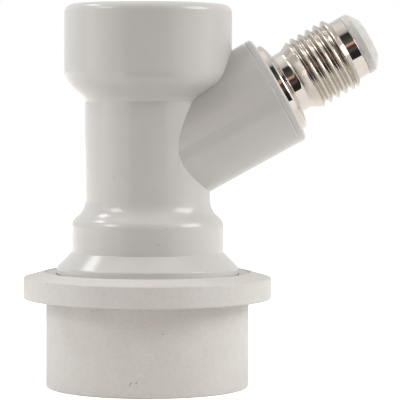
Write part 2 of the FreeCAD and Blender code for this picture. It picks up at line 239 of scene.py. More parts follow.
def smooth(piece: bpy.types.Object) -> None:
    """Shades a piece smooth, apart from the edges that are really sharp."""
    for polygon in piece.data.polygons:
        polygon.use_smooth = True
    piece.data.set_sharp_from_angle(angle=SHARP_ANGLE)


def turned(
    name: str, corners: Sequence[Corner], segments: int = 288, start: float = 0.0, sweep: float = FULL_TURN
) -> bpy.types.Object:
    """A solid turned about +Z.

    Args:
        name: the new object's name.
        corners: the outline's corners.
        segments: facets in the whole sweep.
        start: the angle at which the sweep starts, in radians from +X.
        sweep: the angle that it covers, in radians.

    Returns:
        The new object, with capped ends where the sweep isn't a full turn.
    """
    angles = [start + sweep * step / segments for step in range(segments + 1)]
    rows = []
    for point in run_points(corners, closed=True):
        rows.append([Vector((point.x * math.cos(a), point.x * math.sin(a), point.y)) for a in angles])
    return skin(name, rows, cap_ends=sweep < FULL_TURN)


def combine(target: bpy.types.Object, cut: Cut, *tools: bpy.types.Object) -> None:
    """Joins tools to a solid mesh or removes them from it, and deletes the tools."""
    for tool in tools:
        step = target.modifiers.new(cut.name.lower(), "BOOLEAN")
        step.operation = cut.value
        step.solver = "EXACT"
        step.object = tool
    evaluated = target.evaluated_get(bpy.context.evaluated_depsgraph_get())
    result = bpy.data.meshes.new_from_object(evaluated)
    target.modifiers.clear()
    target.data = result
    for tool in tools:
        bpy.data.objects.remove(tool)
    smooth(target)


def helical_rows(
    turns: float,
    pitch: float,
    base: float,
    ridge: Callable[[float], float],
    samples: Sequence[float],
    segments: int,
) -> list[list[Vector]]:
    """Rows of a screw thread that winds about +Z, right-handed.

    Args:
        turns: how many turns the rows cover.
        pitch: the rise of one turn.
        base: the height at which the first row starts.
        ridge: the radius at a phase of the pitch, from 0 to 1.
        samples: the phases at which one pitch is sampled.
        segments: facets in one turn.

    Returns:
        Rows of points, each one turn long, to be trimmed and joined by the caller.
    """
    rows = []
    for turn in range(math.ceil(turns)):
        for phase in samples:
            radius = ridge(phase)
            row = []
            for step in range(segments + 1):
                share = step / segments
                angle = share * FULL_TURN
                height = base + (turn + phase + share) * pitch
                row.append(Vector((radius * math.cos(angle), radius * math.sin(angle), height)))
            rows.append(row)
    return rows


def trimmed(
    rows: list[list[Vector]], low: float, high: float, shape: Callable[[float, float], float]
) -> list[list[Vector]]:
    """Thread rows kept between two heights and shaped at their ends.

    Args:
        rows: the rows to trim.
        low: the lowest height kept; lower points are drawn up to it.
        high: the highest height kept; higher points are drawn down to it.
        shape: the radius to use for a thread radius at a height.

    Returns:
        The trimmed rows.
    """
    kept = []
    for row in rows:
        points = []
        for point in row:
            height = min(max(point.z, low), high)
            radius = math.hypot(point.x, point.y)
            scale = shape(radius, height) / radius
            points.append(Vector((point.x * scale, point.y * scale, height)))
        kept.append(points)
    return kept


def ring_row(radius: float, height: float, segments: int) -> list[Vector]:
    """One plain ring of points, its last point on its first."""
    angles = [FULL_TURN * step / segments for step in range(segments + 1)]
    return [Vector((radius * math.cos(angle), radius * math.sin(angle), height)) for angle in angles]


def sheet_rows(corners: Sequence[Corner], segments: int) -> list[list[Vector]]:
    """Rings for an open run of corners, for a skin that goes on with other rows.

    Args:
        corners: the corners in order; the first and the last stay as they are.
        segments: facets in one turn.

    Returns:
        One ring for each point of the run.
    """
    return [ring_row(point.x, point.y, segments) for point in run_points(corners, closed=False)]


def washer_corners(
    inner: float, outer: float, low: float, high: float, rounding: float = EDGE_BREAK
) -> list[Corner]:
    """The four corners of a flat ring.

    Args:
        inner: its inner radius.
        outer: its outer radius.
        low: height of its lower face.
        high: height of its upper face.
        rounding: the rounding of its two outer corners.

    Returns:
        The corners, from the inner lower one round to the inner upper one.
    """
    return [
        Corner(inner, low),
        Corner(outer, low, rounding),
        Corner(outer, high, rounding),
        Corner(inner, high),
    ]


@dataclass
class Coil:
    """A compression spring of round wire about +Z, with closed end turns."""

    mean_radius: float
    wire: float
    low: float
    high: float
    open_turns: float
    closed_turns: float
    facets: int = 14
    steps_per_turn: int = 64

    def climb(self, turn: float) -> float:
        """Height of the wire's middle above the lower end at a turn, slow in the end turns."""
        total = self.open_turns + 2.0 * self.closed_turns
        closed_rise = self.closed_turns * self.wire
        open_rise = self.high - self.low - self.wire - 2.0 * closed_rise
        if turn < self.closed_turns:
            return turn * self.wire
        if turn > total - self.closed_turns:
            return closed_rise + open_rise + (turn - total + self.closed_turns) * self.wire
        share = (turn - self.closed_turns) / self.open_turns
        ease = min(0.5 / self.open_turns, 0.25)
        eased = (share * share / (2.0 * ease)) if share < ease else share - ease / 2.0
        if share > 1.0 - ease:
            eased = (1.0 - ease) - (1.0 - share) ** 2 / (2.0 * ease)
        return closed_rise + open_rise * eased / (1.0 - ease)

    def build(self, name: str) -> bpy.types.Object:
        """The spring's mesh.

        Args:
            name: the new object's name.

        Returns:
            The new object.
        """
        total = self.open_turns + 2.0 * self.closed_turns
        steps = math.ceil(total * self.steps_per_turn)
        rows = []
        for facet in range(self.facets):
            around = FULL_TURN * facet / self.facets
            row = []
            for step in range(steps + 1):
                turn = total * step / steps
                radius = self.mean_radius + self.wire / 2.0 * math.cos(around)
                height = self.low + self.wire / 2.0 * (1.0 + math.sin(around)) + self.climb(turn)
                angle = turn * FULL_TURN
                row.append(Vector((radius * math.cos(angle), radius * math.sin(angle), height)))
            rows.append(row)
        return skin(name, rows, cap_ends=True)


class Tree:
    """Short hand for placing and joining the nodes of one shader tree."""

    def __init__(self, tree: bpy.types.NodeTree) -> None:
        """Empties a tree and keeps it."""
        self.tree = tree
        tree.nodes.clear()

    def add(self, kind: str, **settings: object) -> bpy.types.Node:
        """A new node with its settings.

        Args:
            kind: the node's type name, without its common beginning.
            settings: properties to set on it.

        Returns:
            The new node.
        """
        node = self.tree.nodes.new("ShaderNode" + kind)
        for key, value in settings.items():
            setattr(node, key, value)
        return node

    def feed(self, socket: bpy.types.NodeSocket, value: object) -> None:
        """Joins a socket to a value: another socket, or a plain number, colour or vector."""
        if isinstance(value, bpy.types.NodeSocket):
            self.tree.links.new(value, socket)
        else:
            socket.default_value = value

    def math(self, operation: str, *values: object, clamp: bool = False) -> bpy.types.NodeSocket:
        """The result of one Math node."""
        node = self.add("Math", operation=operation, use_clamp=clamp)
        for socket, value in zip(node.inputs, values):
            self.feed(socket, value)
        return node.outputs[0]

    def vector(self, operation: str, *values: object) -> bpy.types.Node:
        """One Vector Math node."""
        node = self.add("VectorMath", operation=operation)
        for socket, value in zip(node.inputs, values):
            self.feed(socket, value)
        return node

    def ramp(
        self, value: object, low: float, high: float, to_low: float = 0.0, to_high: float = 1.0
    ) -> bpy.types.NodeSocket:
        """A value carried smoothly from one range to another, and held at its ends."""
        node = self.add("MapRange", interpolation_type="SMOOTHSTEP")
        keys = ("Value", "From Min", "From Max", "To Min", "To Max")
        for key, number in zip(keys, (value, low, high, to_low, to_high)):
            self.feed(node.inputs[key], number)
        return node.outputs["Result"]

    def near(self, gap: object, width: object) -> bpy.types.NodeSocket:
        """A mask that falls from 1 at no gap to 0 at a width."""
        return self.math("SUBTRACT", 1.0, self.math("DIVIDE", gap, width), clamp=True)

    def toned(self, angle: object, base: object, tones: Sequence["Tone"]) -> object:
        """A colour that changes to others, one after the other, as an angle grows."""
        for tone in tones:
            base = self.mix(self.ramp(angle, tone.start, tone.full), base, tone.colour)
        return base

    def mix(self, factor: object, first: object, second: object) -> bpy.types.NodeSocket:
        """Two colours mixed."""
        node = self.add("Mix", data_type="RGBA")
        self.feed(node.inputs["Factor"], factor)
        self.feed(node.inputs[6], first)
        self.feed(node.inputs[7], second)
        return node.outputs[2]

    def noise(
        self, place: object, scale: object, detail: float = 3.0, roughness: float = 0.55
    ) -> bpy.types.NodeSocket:
        """A noise value at a place."""
        node = self.add("TexNoise")
        self.feed(node.inputs["Vector"], place)
        for key, number in (("Scale", scale), ("Detail", detail), ("Roughness", roughness)):
            self.feed(node.inputs[key], number)
        return node.outputs[0]

    def group(self, group: bpy.types.NodeTree, **values: object) -> bpy.types.Node:
        """A shared node group, fed by name."""
        node = self.add("Group", node_tree=group)
        for key, value in values.items():
            self.feed(node.inputs[key.replace("_", " ")], value)
        return node


def new_group(
    name: str, inputs: dict[str, str], outputs: dict[str, str]
) -> tuple[Tree, bpy.types.NodeOutputs, bpy.types.NodeInputs]:
    """An empty node group with its sockets.

    Args:
        name: the group's name.
        inputs: socket kinds by name.
        outputs: socket kinds by name.

    Returns:
        The tree, the sockets that bring its inputs, and the sockets that take its outputs.
    """
    group = bpy.data.node_groups.new(name, "ShaderNodeTree")
    for key, kind in inputs.items():
        group.interface.new_socket(key, in_out="INPUT", socket_type="NodeSocket" + kind)
    for key, kind in outputs.items():
        group.interface.new_socket(key, in_out="OUTPUT", socket_type="NodeSocket" + kind)
    tree = Tree(group)
    given = group.nodes.new("NodeGroupInput").outputs
    result = group.nodes.new("NodeGroupOutput").inputs
    return tree, given, result


class Effects:
    """Node groups that several finishes share."""

    def __init__(self) -> None:
        """Builds each group once."""
        self.mottle = self._mottle()
        self.specks = self._specks()
        self.nick = self._nick()
        self.band = self._band()
        self.tool_marks = self._tool_marks()
        self.scuffs = self._scuffs()

    def _mottle(self) -> bpy.types.NodeTree:
        """Two tones that drift into each other in soft clouds."""
        tree, given, result = new_group(
            "mottle", {"Place": "Vector", "Scale": "Float", "First": "Color", "Second": "Color"},
            {"Colour": "Color", "Cloud": "Float"},
        )
        cloud = tree.noise(given["Place"], given["Scale"], detail=4.0)
        spread = tree.ramp(cloud, 0.3, 0.7)
        tree.feed(result["Colour"], tree.mix(spread, given["First"], given["Second"]))
        tree.feed(result["Cloud"], spread)
        return tree.tree

    def _specks(self) -> bpy.types.NodeTree:
        """Sparse dark grains, some of the cells of a fine pattern."""
        tree, given, result = new_group(
            "specks", {"Place": "Vector", "Scale": "Float", "Share": "Float", "Size": "Float"}, {"Mask": "Float"}
        )
        cells = tree.add("TexVoronoi", feature="F1")
        tree.feed(cells.inputs["Vector"], given["Place"])
        tree.feed(cells.inputs["Scale"], given["Scale"])
        pick = tree.add("SeparateColor")
        tree.feed(pick.inputs[0], cells.outputs["Color"])
        chosen = tree.math("LESS_THAN", pick.outputs[0], given["Share"])
        inside = tree.near(cells.outputs["Distance"], given["Size"])
        tree.feed(result["Mask"], tree.math("MULTIPLY", chosen, inside))
        return tree.tree

    def _nick(self) -> bpy.types.NodeTree:
        """A short scratch between two points."""
        tree, given, result = new_group(
            "nick", {"Place": "Vector", "Start": "Vector", "End": "Vector", "Width": "Float"}, {"Mask": "Float"}
        )
        run = tree.vector("SUBTRACT", given["End"], given["Start"]).outputs[0]
        reach = tree.vector("SUBTRACT", given["Place"], given["Start"]).outputs[0]
        along = tree.vector("DOT_PRODUCT", reach, run).outputs["Value"]
        length = tree.vector("DOT_PRODUCT", run, run).outputs["Value"]
        share = tree.math("DIVIDE", along, length, clamp=True)
        step = tree.add("VectorMath", operation="SCALE")
        tree.feed(step.inputs[0], run)
        tree.feed(step.inputs["Scale"], share)
        gap = tree.vector("DISTANCE", reach, step.outputs[0]).outputs["Value"]
        tree.feed(result["Mask"], tree.near(gap, given["Width"]))
        return tree.tree

    def _band(self) -> bpy.types.NodeTree:
        """A level band round the axis, broken up by noise."""
        tree, given, result = new_group(
            "band", {"Place": "Vector", "Height": "Float", "Width": "Float", "Breaks": "Float"}, {"Mask": "Float"}
        )
        split = tree.add("SeparateXYZ")
        tree.feed(split.inputs[0], given["Place"])
        gap = tree.math("ABSOLUTE", tree.math("SUBTRACT", split.outputs["Z"], given["Height"]))
        level = tree.near(gap, given["Width"])
        broken = tree.ramp(tree.noise(given["Place"], 900.0), 0.42, 0.62)
        kept = tree.math("SUBTRACT", 1.0, tree.math("MULTIPLY", given["Breaks"], broken), clamp=True)
        tree.feed(result["Mask"], tree.math("MULTIPLY", level, kept))
        return tree.tree

    def _tool_marks(self) -> bpy.types.NodeTree:
        """Fine rings that a cutting tool leaves round an axis."""
        tree, given, result = new_group(
            "tool marks", {"Place": "Vector", "Centre": "Vector", "Axis": "Vector", "Spacing": "Float"},
            {"Height": "Float", "Along": "Float"},
        )
        reach = tree.vector("SUBTRACT", given["Place"], given["Centre"]).outputs[0]
        along = tree.vector("DOT_PRODUCT", reach, given["Axis"]).outputs["Value"]
        sideways = tree.vector("CROSS_PRODUCT", reach, given["Axis"]).outputs[0]
        across = tree.vector("LENGTH", sideways).outputs["Value"]
        place = tree.add("CombineXYZ")
        tree.feed(place.inputs[0], tree.math("DIVIDE", along, given["Spacing"]))
        tree.feed(place.inputs[1], tree.math("DIVIDE", across, given["Spacing"]))
        tree.feed(result["Height"], tree.noise(place.outputs[0], 1.0, detail=2.0))
        tree.feed(result["Along"], along)
        return tree.tree

    def _scuffs(self) -> bpy.types.NodeTree:
        """Faint rubbed streaks that run in many directions."""
        tree, given, result = new_group("scuffs", {"Place": "Vector", "Scale": "Float"}, {"Mask": "Float"})
        drift = tree.add("TexNoise", noise_dimensions="3D")
        tree.feed(drift.inputs["Vector"], given["Place"])
        tree.feed(drift.inputs["Scale"], given["Scale"])
        stretch = tree.vector("MULTIPLY_ADD", given["Place"], (1.0, 6.0, 2.0), drift.outputs["Color"])
        streak = tree.add("TexNoise")
        tree.feed(streak.inputs["Vector"], stretch.outputs[0])
        tree.feed(streak.inputs["Scale"], given["Scale"])
        tree.feed(result["Mask"], tree.ramp(streak.outputs[0], 0.62, 0.72))
        return tree.tree


@dataclass(frozen=True)
class Nick:
    """A scratch, as its two ends and its width."""

    start: Point
    end: Point
    width: float


def nicks(marks: Sequence[tuple[Point, Point, float]]) -> tuple[Nick, ...]:
    """Scratches from marks in millimetres."""
    found = []
    for start, end, width in marks:
        ends = [tuple(value * MM for value in place) for place in (start, end)]
        found.append(Nick(*ends, width * MM))
    return tuple(found)


@dataclass(frozen=True)
class Finish:
    """What every finish has: a name, and a way to start its material."""

    name: str

    def begin(self) -> tuple[bpy.types.Material, Tree, bpy.types.Node, bpy.types.NodeSocket]:
        """A new material with its shader and output joined.

        Returns:
            The material, its tree, its shader node and the socket of the piece's own coordinates.
        """
        material = bpy.data.materials.new(self.name)
        material.use_nodes = True
        tree = Tree(material.node_tree)
        shader = tree.add("BsdfPrincipled")
        tree.feed(tree.add("OutputMaterial").inputs["Surface"], shader.outputs[0])
        place = tree.add("TexCoord").outputs["Object"]
        return material, tree, shader, place

    def bump(self, tree: Tree, shader: bpy.types.Node, height: object, strength: float, distance: float) -> None:
        """Lays a height over the surface as fine relief."""
        relief = tree.add("Bump")
        relief.inputs["Strength"].default_value = strength
        relief.inputs["Distance"].default_value = distance
        tree.feed(relief.inputs["Height"], height)
        tree.feed(shader.inputs["Normal"], relief.outputs["Normal"])


@dataclass(frozen=True)
class MouldedPlastic(Finish):
    """Warm grey plastic from a polished or a grained mould."""

    light: Colour = (0.600, 0.590, 0.574, 1.0)
    dark: Colour = (0.585, 0.574, 0.558, 1.0)
    speck: Colour = (0.20, 0.16, 0.13, 1.0)
    roughness: Span = (0.15, 0.19)
    grain_scale: float = 700.0
    grain_depth: float = 0.0005 * MM
    grain_tone: float = 0.0
    grain_range: Span = (0.4, 0.62)
    bump_strength: float = 0.5
    cloud_scale: float = 180.0
    speck_scale: float = 700.0
    speck_share: float = 0.0
    speck_size: float = 0.28
    speck_strength: float = 0.8
    scuff_scale: float = 260.0
    scuff_roughness: float = 0.03
    nicks: tuple[Nick, ...] = ()
    nick_strength: float = 0.75
    nick_depth: float = 3.0
    tan_edges: tuple[float, ...] = ()
    tan: Colour = (0.70, 0.58, 0.49, 1.0)
    tan_width: float = 0.16 * MM
    tan_breaks: float = 0.9
    tan_strength: float = 0.55
    refraction: float = 1.5

    def material(self, effects: Effects) -> bpy.types.Material:
        """The finish as a material.

        Args:
            effects: the shared node groups.

        Returns:
            The new material.
        """
        material, tree, shader, place = self.begin()
        shader.inputs["IOR"].default_value = self.refraction
        clouds = tree.group(effects.mottle, Place=place, Scale=self.cloud_scale, First=self.light, Second=self.dark)
        specks = tree.group(
            effects.specks, Place=place, Scale=self.speck_scale, Share=self.speck_share, Size=self.speck_size
        )
        speckled = tree.math("MULTIPLY", specks.outputs["Mask"], self.speck_strength)
        colour = tree.mix(speckled, clouds.outputs["Colour"], self.speck)
        for level in self.tan_edges:
            band = tree.group(effects.band, Place=place, Height=level, Width=self.tan_width, Breaks=self.tan_breaks)
            colour = tree.mix(tree.math("MULTIPLY", band.outputs["Mask"], self.tan_strength), colour, self.tan)
        scuffs = tree.group(effects.scuffs, Place=place, Scale=self.scuff_scale)
        roughness = tree.ramp(clouds.outputs["Cloud"], 0.0, 1.0, *self.roughness)
        roughness = tree.math("MULTIPLY_ADD", scuffs.outputs["Mask"], self.scuff_roughness, roughness)
        height = tree.noise(place, self.grain_scale, detail=2.0)
        grain = tree.math("MULTIPLY", tree.ramp(height, *self.grain_range), self.grain_tone)
        colour = tree.mix(grain, colour, self.speck)
        for nick in self.nicks:
            mark = tree.group(effects.nick, Place=place, Start=nick.start, End=nick.end, Width=nick.width)
            colour = tree.mix(tree.math("MULTIPLY", mark.outputs["Mask"], self.nick_strength), colour, self.speck)
            height = tree.math("SUBTRACT", height, tree.math("MULTIPLY", mark.outputs["Mask"], self.nick_depth))
        tree.feed(shader.inputs["Base Color"], colour)
        tree.feed(shader.inputs["Roughness"], roughness)
        self.bump(tree, shader, height, self.bump_strength, self.grain_depth)
        return material


@dataclass(frozen=True)
class PolishedMetal(Finish):
    """Bright metal with fine tool marks round an axis; in an optional zone it is rougher, and its colour there is
    darkened and warmed as painted shade.
    """

    colour: Colour = (0.70, 0.66, 0.62, 1.0)
    stain: Colour = (0.61, 0.555, 0.50, 1.0)
    roughness: Span = (0.04, 0.07)
    centre: Point = (0.0, 0.0, 0.0)
    axis: Point = (0.0, 0.0, 1.0)
    spacing: float = 0.05 * MM
    mark_depth: float = 0.0002 * MM
    mark_range: Span = (0.3, 0.7)
    bump_strength: float = 0.4
    cloud_scale: float = 320.0
    scuff_scale: float = 420.0
    scuff_roughness: float = 0.08
    rough_and_painted_shade_zone: Span = (0.0, 0.0)
    soft_extra: float = 0.13
    thread_painted_shade: Colour = (0.58, 0.54, 0.49, 1.0)
    soft_start: float = 0.3 * MM
    soft_end: float = 0.5 * MM
    painted_shade_span: Span = (1.2 * MM, 1.8 * MM)

    def material(self, effects: Effects) -> bpy.types.Material:
        """The finish as a material.

        Args:
            effects: the shared node groups.

        Returns:
            The new material.
        """
        material, tree, shader, place = self.begin()
        shader.inputs["Metallic"].default_value = 1.0
        clouds = tree.group(effects.mottle, Place=place, Scale=self.cloud_scale, First=self.colour, Second=self.stain)
        scuffs = tree.group(effects.scuffs, Place=place, Scale=self.scuff_scale)
        marks = tree.group(
            effects.tool_marks, Place=place, Centre=self.centre, Axis=self.axis, Spacing=self.spacing
        )
        roughness = tree.ramp(marks.outputs["Height"], *self.mark_range, *self.roughness)
        colour = clouds.outputs["Colour"]
        start, end = self.rough_and_painted_shade_zone
        if end > start:
            along = marks.outputs["Along"]
            before_end = tree.ramp(along, end, end - self.soft_end)
            inside = tree.math("MULTIPLY", tree.ramp(along, start, start + self.soft_start), before_end)
            roughness = tree.math("MULTIPLY_ADD", inside, self.soft_extra, roughness)
            # Painted shade: past the lead-in, the thread's metal colour is darkened and warmed towards a duller tone.
            painted_shade = tree.ramp(along, start + self.painted_shade_span[0], start + self.painted_shade_span[1])
            colour = tree.mix(tree.math("MULTIPLY", painted_shade, before_end), colour, self.thread_painted_shade)
        roughness = tree.math("MULTIPLY_ADD", scuffs.outputs["Mask"], self.scuff_roughness, roughness)
        tree.feed(shader.inputs["Base Color"], colour)
        tree.feed(shader.inputs["Roughness"], roughness)
        self.bump(tree, shader, marks.outputs["Height"], self.bump_strength, self.mark_depth)
        return material


@dataclass(frozen=True)
class MilkyPlastic(Finish):
    """Translucent white plastic with faint turning lines."""

    colour: Colour = (0.69, 0.68, 0.665, 1.0)
    streak: Colour = (0.58, 0.57, 0.555, 1.0)
    streak_strength: float = 0.6
    line_spacing: float = 0.22 * MM
    cloud_scale: float = 900.0
    roughness: Span = (0.28, 0.42)
    refraction: float = 1.45
    glow_weight: float = 0.6
    glow_depth: float = 1.0 * MM
    glow_reach: Point = (1.0, 0.95, 0.9)
    bump_strength: float = 0.5
    line_depth: float = 0.01 * MM
    centre: Point = (0.0, 0.0, 0.0)
    axis: Point = (0.0, 0.0, 1.0)

    def material(self, effects: Effects) -> bpy.types.Material:
        """The finish as a material.

        Args:
            effects: the shared node groups.

        Returns:
            The new material.
        """
        material, tree, shader, place = self.begin()
        shader.inputs["IOR"].default_value = self.refraction
        shader.inputs["Subsurface Weight"].default_value = self.glow_weight
        shader.inputs["Subsurface Scale"].default_value = self.glow_depth
        shader.inputs["Subsurface Radius"].default_value = self.glow_reach
        lines = tree.group(
            effects.tool_marks, Place=place, Centre=self.centre, Axis=self.axis, Spacing=self.line_spacing
        )
        clouds = tree.group(effects.mottle, Place=place, Scale=self.cloud_scale, First=self.colour, Second=self.streak)
        streaks = tree.math("MULTIPLY", tree.ramp(lines.outputs["Height"], 0.35, 0.7), self.streak_strength)
        tree.feed(shader.inputs["Base Color"], tree.mix(streaks, clouds.outputs["Colour"], self.streak))
        tree.feed(shader.inputs["Roughness"], tree.ramp(lines.outputs["Height"], 0.3, 0.7, *self.roughness))
        self.bump(tree, shader, lines.outputs["Height"], self.bump_strength, self.line_depth)
        return material


@dataclass(frozen=True)
class Rubber(Finish):
    """Black rubber with a fine bloom."""

    colour: Colour = (0.022, 0.022, 0.023, 1.0)
    bloom: Colour = (0.06, 0.058, 0.055, 1.0)
    roughness: Span = (0.42, 0.6)
    cloud_scale: float = 500.0
    grain_scale: float = 2600.0
    grain_depth: float = 0.01 * MM
    bump_strength: float = 0.5

    def material(self, effects: Effects) -> bpy.types.Material:
        """The finish as a material.

        Args:
            effects: the shared node groups.

        Returns:
            The new material.
        """
        material, tree, shader, place = self.begin()
        clouds = tree.group(effects.mottle, Place=place, Scale=self.cloud_scale, First=self.colour, Second=self.bloom)
        tree.feed(shader.inputs["Base Color"], clouds.outputs["Colour"])
        tree.feed(shader.inputs["Roughness"], tree.ramp(clouds.outputs["Cloud"], 0.0, 1.0, *self.roughness))
        grain = tree.noise(place, self.grain_scale, detail=2.0)
        self.bump(tree, shader, grain, self.bump_strength, self.grain_depth)
        return material


def fit(piece: bpy.types.Object, node: str, body: str, material: bpy.types.Material) -> None:
    """Dresses a piece, hangs it on its body in place of a node, and logs how well it fits that node.

    Args:
        piece: the finished piece.
        node: the node that it stands for.
        body: the body that it rides on.
        material: its material.
    """
    piece.data.materials.clear()
    piece.data.materials.append(material)
    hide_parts(node)
    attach(piece, body)
    low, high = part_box(node)
    corners = [Vector(corner) for corner in piece.bound_box]
    own_low = Vector(min(corner[axis] for corner in corners) for axis in range(3))
    own_high = Vector(max(corner[axis] for corner in corners) for axis in range(3))
    gap = max(max(abs(a) for a in own_low - low), max(abs(a) for a in own_high - high))
    triangles = sum(len(polygon.vertices) - 2 for polygon in piece.data.polygons)
    log.info("%s rides on %s, %d triangles, box within %.3f mm of its node", piece.name, body, triangles, gap / MM)


@dataclass
class Arm:
    """The side arm's place and its own lengths, measured along its axis from the body's axis."""

    lean: float = math.radians(30.0)
    axis_z: float = 32.5 * MM
    radius: float = 8.32 * MM
    taper: float = 0.37 * MM
    length: float = 21.96 * MM
    end_rounding: float = 0.8 * MM
    lip_setback: float = 0.95 * MM
    lip_width: float = 0.34 * MM
    lip_depth: float = 0.1 * MM
    lip_rounding: float = 0.03 * MM
    crease_start: float = 4.0 * MM
    crease_play: float = 0.02 * MM
    seat_depth: float = 0.86 * MM
    seat_radius: float = 6.95 * MM
    socket_radius: float = 5.5 * MM
    socket_base: float = 14.0 * MM
    flow_radius: float = 2.5 * MM

    @property
    def frame(self) -> Matrix:
        """Carries a shape turned about +Z onto the arm's axis."""
        return Matrix.Translation((0.0, 0.0, self.axis_z)) @ Matrix.Rotation(math.pi / 2.0 - self.lean, 4, "Y")

    @property
    def axis(self) -> Point:
        """The direction in which the arm points."""
        return math.cos(self.lean), 0.0, math.sin(self.lean)

    @property
    def centre(self) -> Point:
        """Where the arm's axis meets the body's axis."""
        return 0.0, 0.0, self.axis_z

    def carries(self, place: Vector) -> bool:
        """Whether a place lies on the arm's smooth outside."""
        own = self.frame.inverted() @ place
        smooth_length = self.length - self.lip_setback - self.lip_width
        expected = self.radius - self.taper * (1.0 - own.z / smooth_length)
        return own.z > self.crease_start and abs(math.hypot(own.x, own.y) - expected) < self.crease_play

    def crease(self, body: bpy.types.Object) -> None:
        """Keeps the line crisp where the arm leaves the neck, also where both meet at a flat angle."""
        shape = bmesh.new()
        shape.from_mesh(body.data)
        on_arm = [self.carries(face.calc_center_median()) for face in shape.faces]
        shape.faces.index_update()
        for edge in shape.edges:
            sides = {on_arm[face.index] for face in edge.link_faces}
            if len(sides) == 2:
                edge.smooth = False
        shape.to_mesh(body.data)
        shape.free()

    def outside(self) -> bpy.types.Object:
        """The arm's solid, with the fine groove near its end."""
        lip = self.length - self.lip_setback
        arm = turned("arm", [
            Corner(0.0, 0.0),
            Corner(self.radius - self.taper, 0.0, 0.0),
            Corner(self.radius, lip - self.lip_width, self.lip_rounding),
            Corner(self.radius - self.lip_depth, lip - self.lip_width / 2.0, self.lip_rounding),
            Corner(self.radius, lip, self.lip_rounding),
            Corner(self.radius, self.length, self.end_rounding),
            Corner(0.0, self.length),
        ])
        arm.data.transform(self.frame)
        return arm

    def bores(self) -> bpy.types.Object:
        """The stem's socket and the flow bore behind it."""
        flange_seat = self.length - self.seat_depth
        beyond = self.length + CUT_OVER
        bores = turned("arm_bores", [
            Corner(0.0, 0.0),
            Corner(self.flow_radius, 0.0, 0.0),
            Corner(self.flow_radius, self.socket_base),
            Corner(self.socket_radius, self.socket_base),
            Corner(self.socket_radius, flange_seat),
            Corner(self.seat_radius, flange_seat),
            Corner(self.seat_radius, beyond, 0.0),
            Corner(0.0, beyond),
        ], segments=192)
        bores.data.transform(self.frame)
        return bores


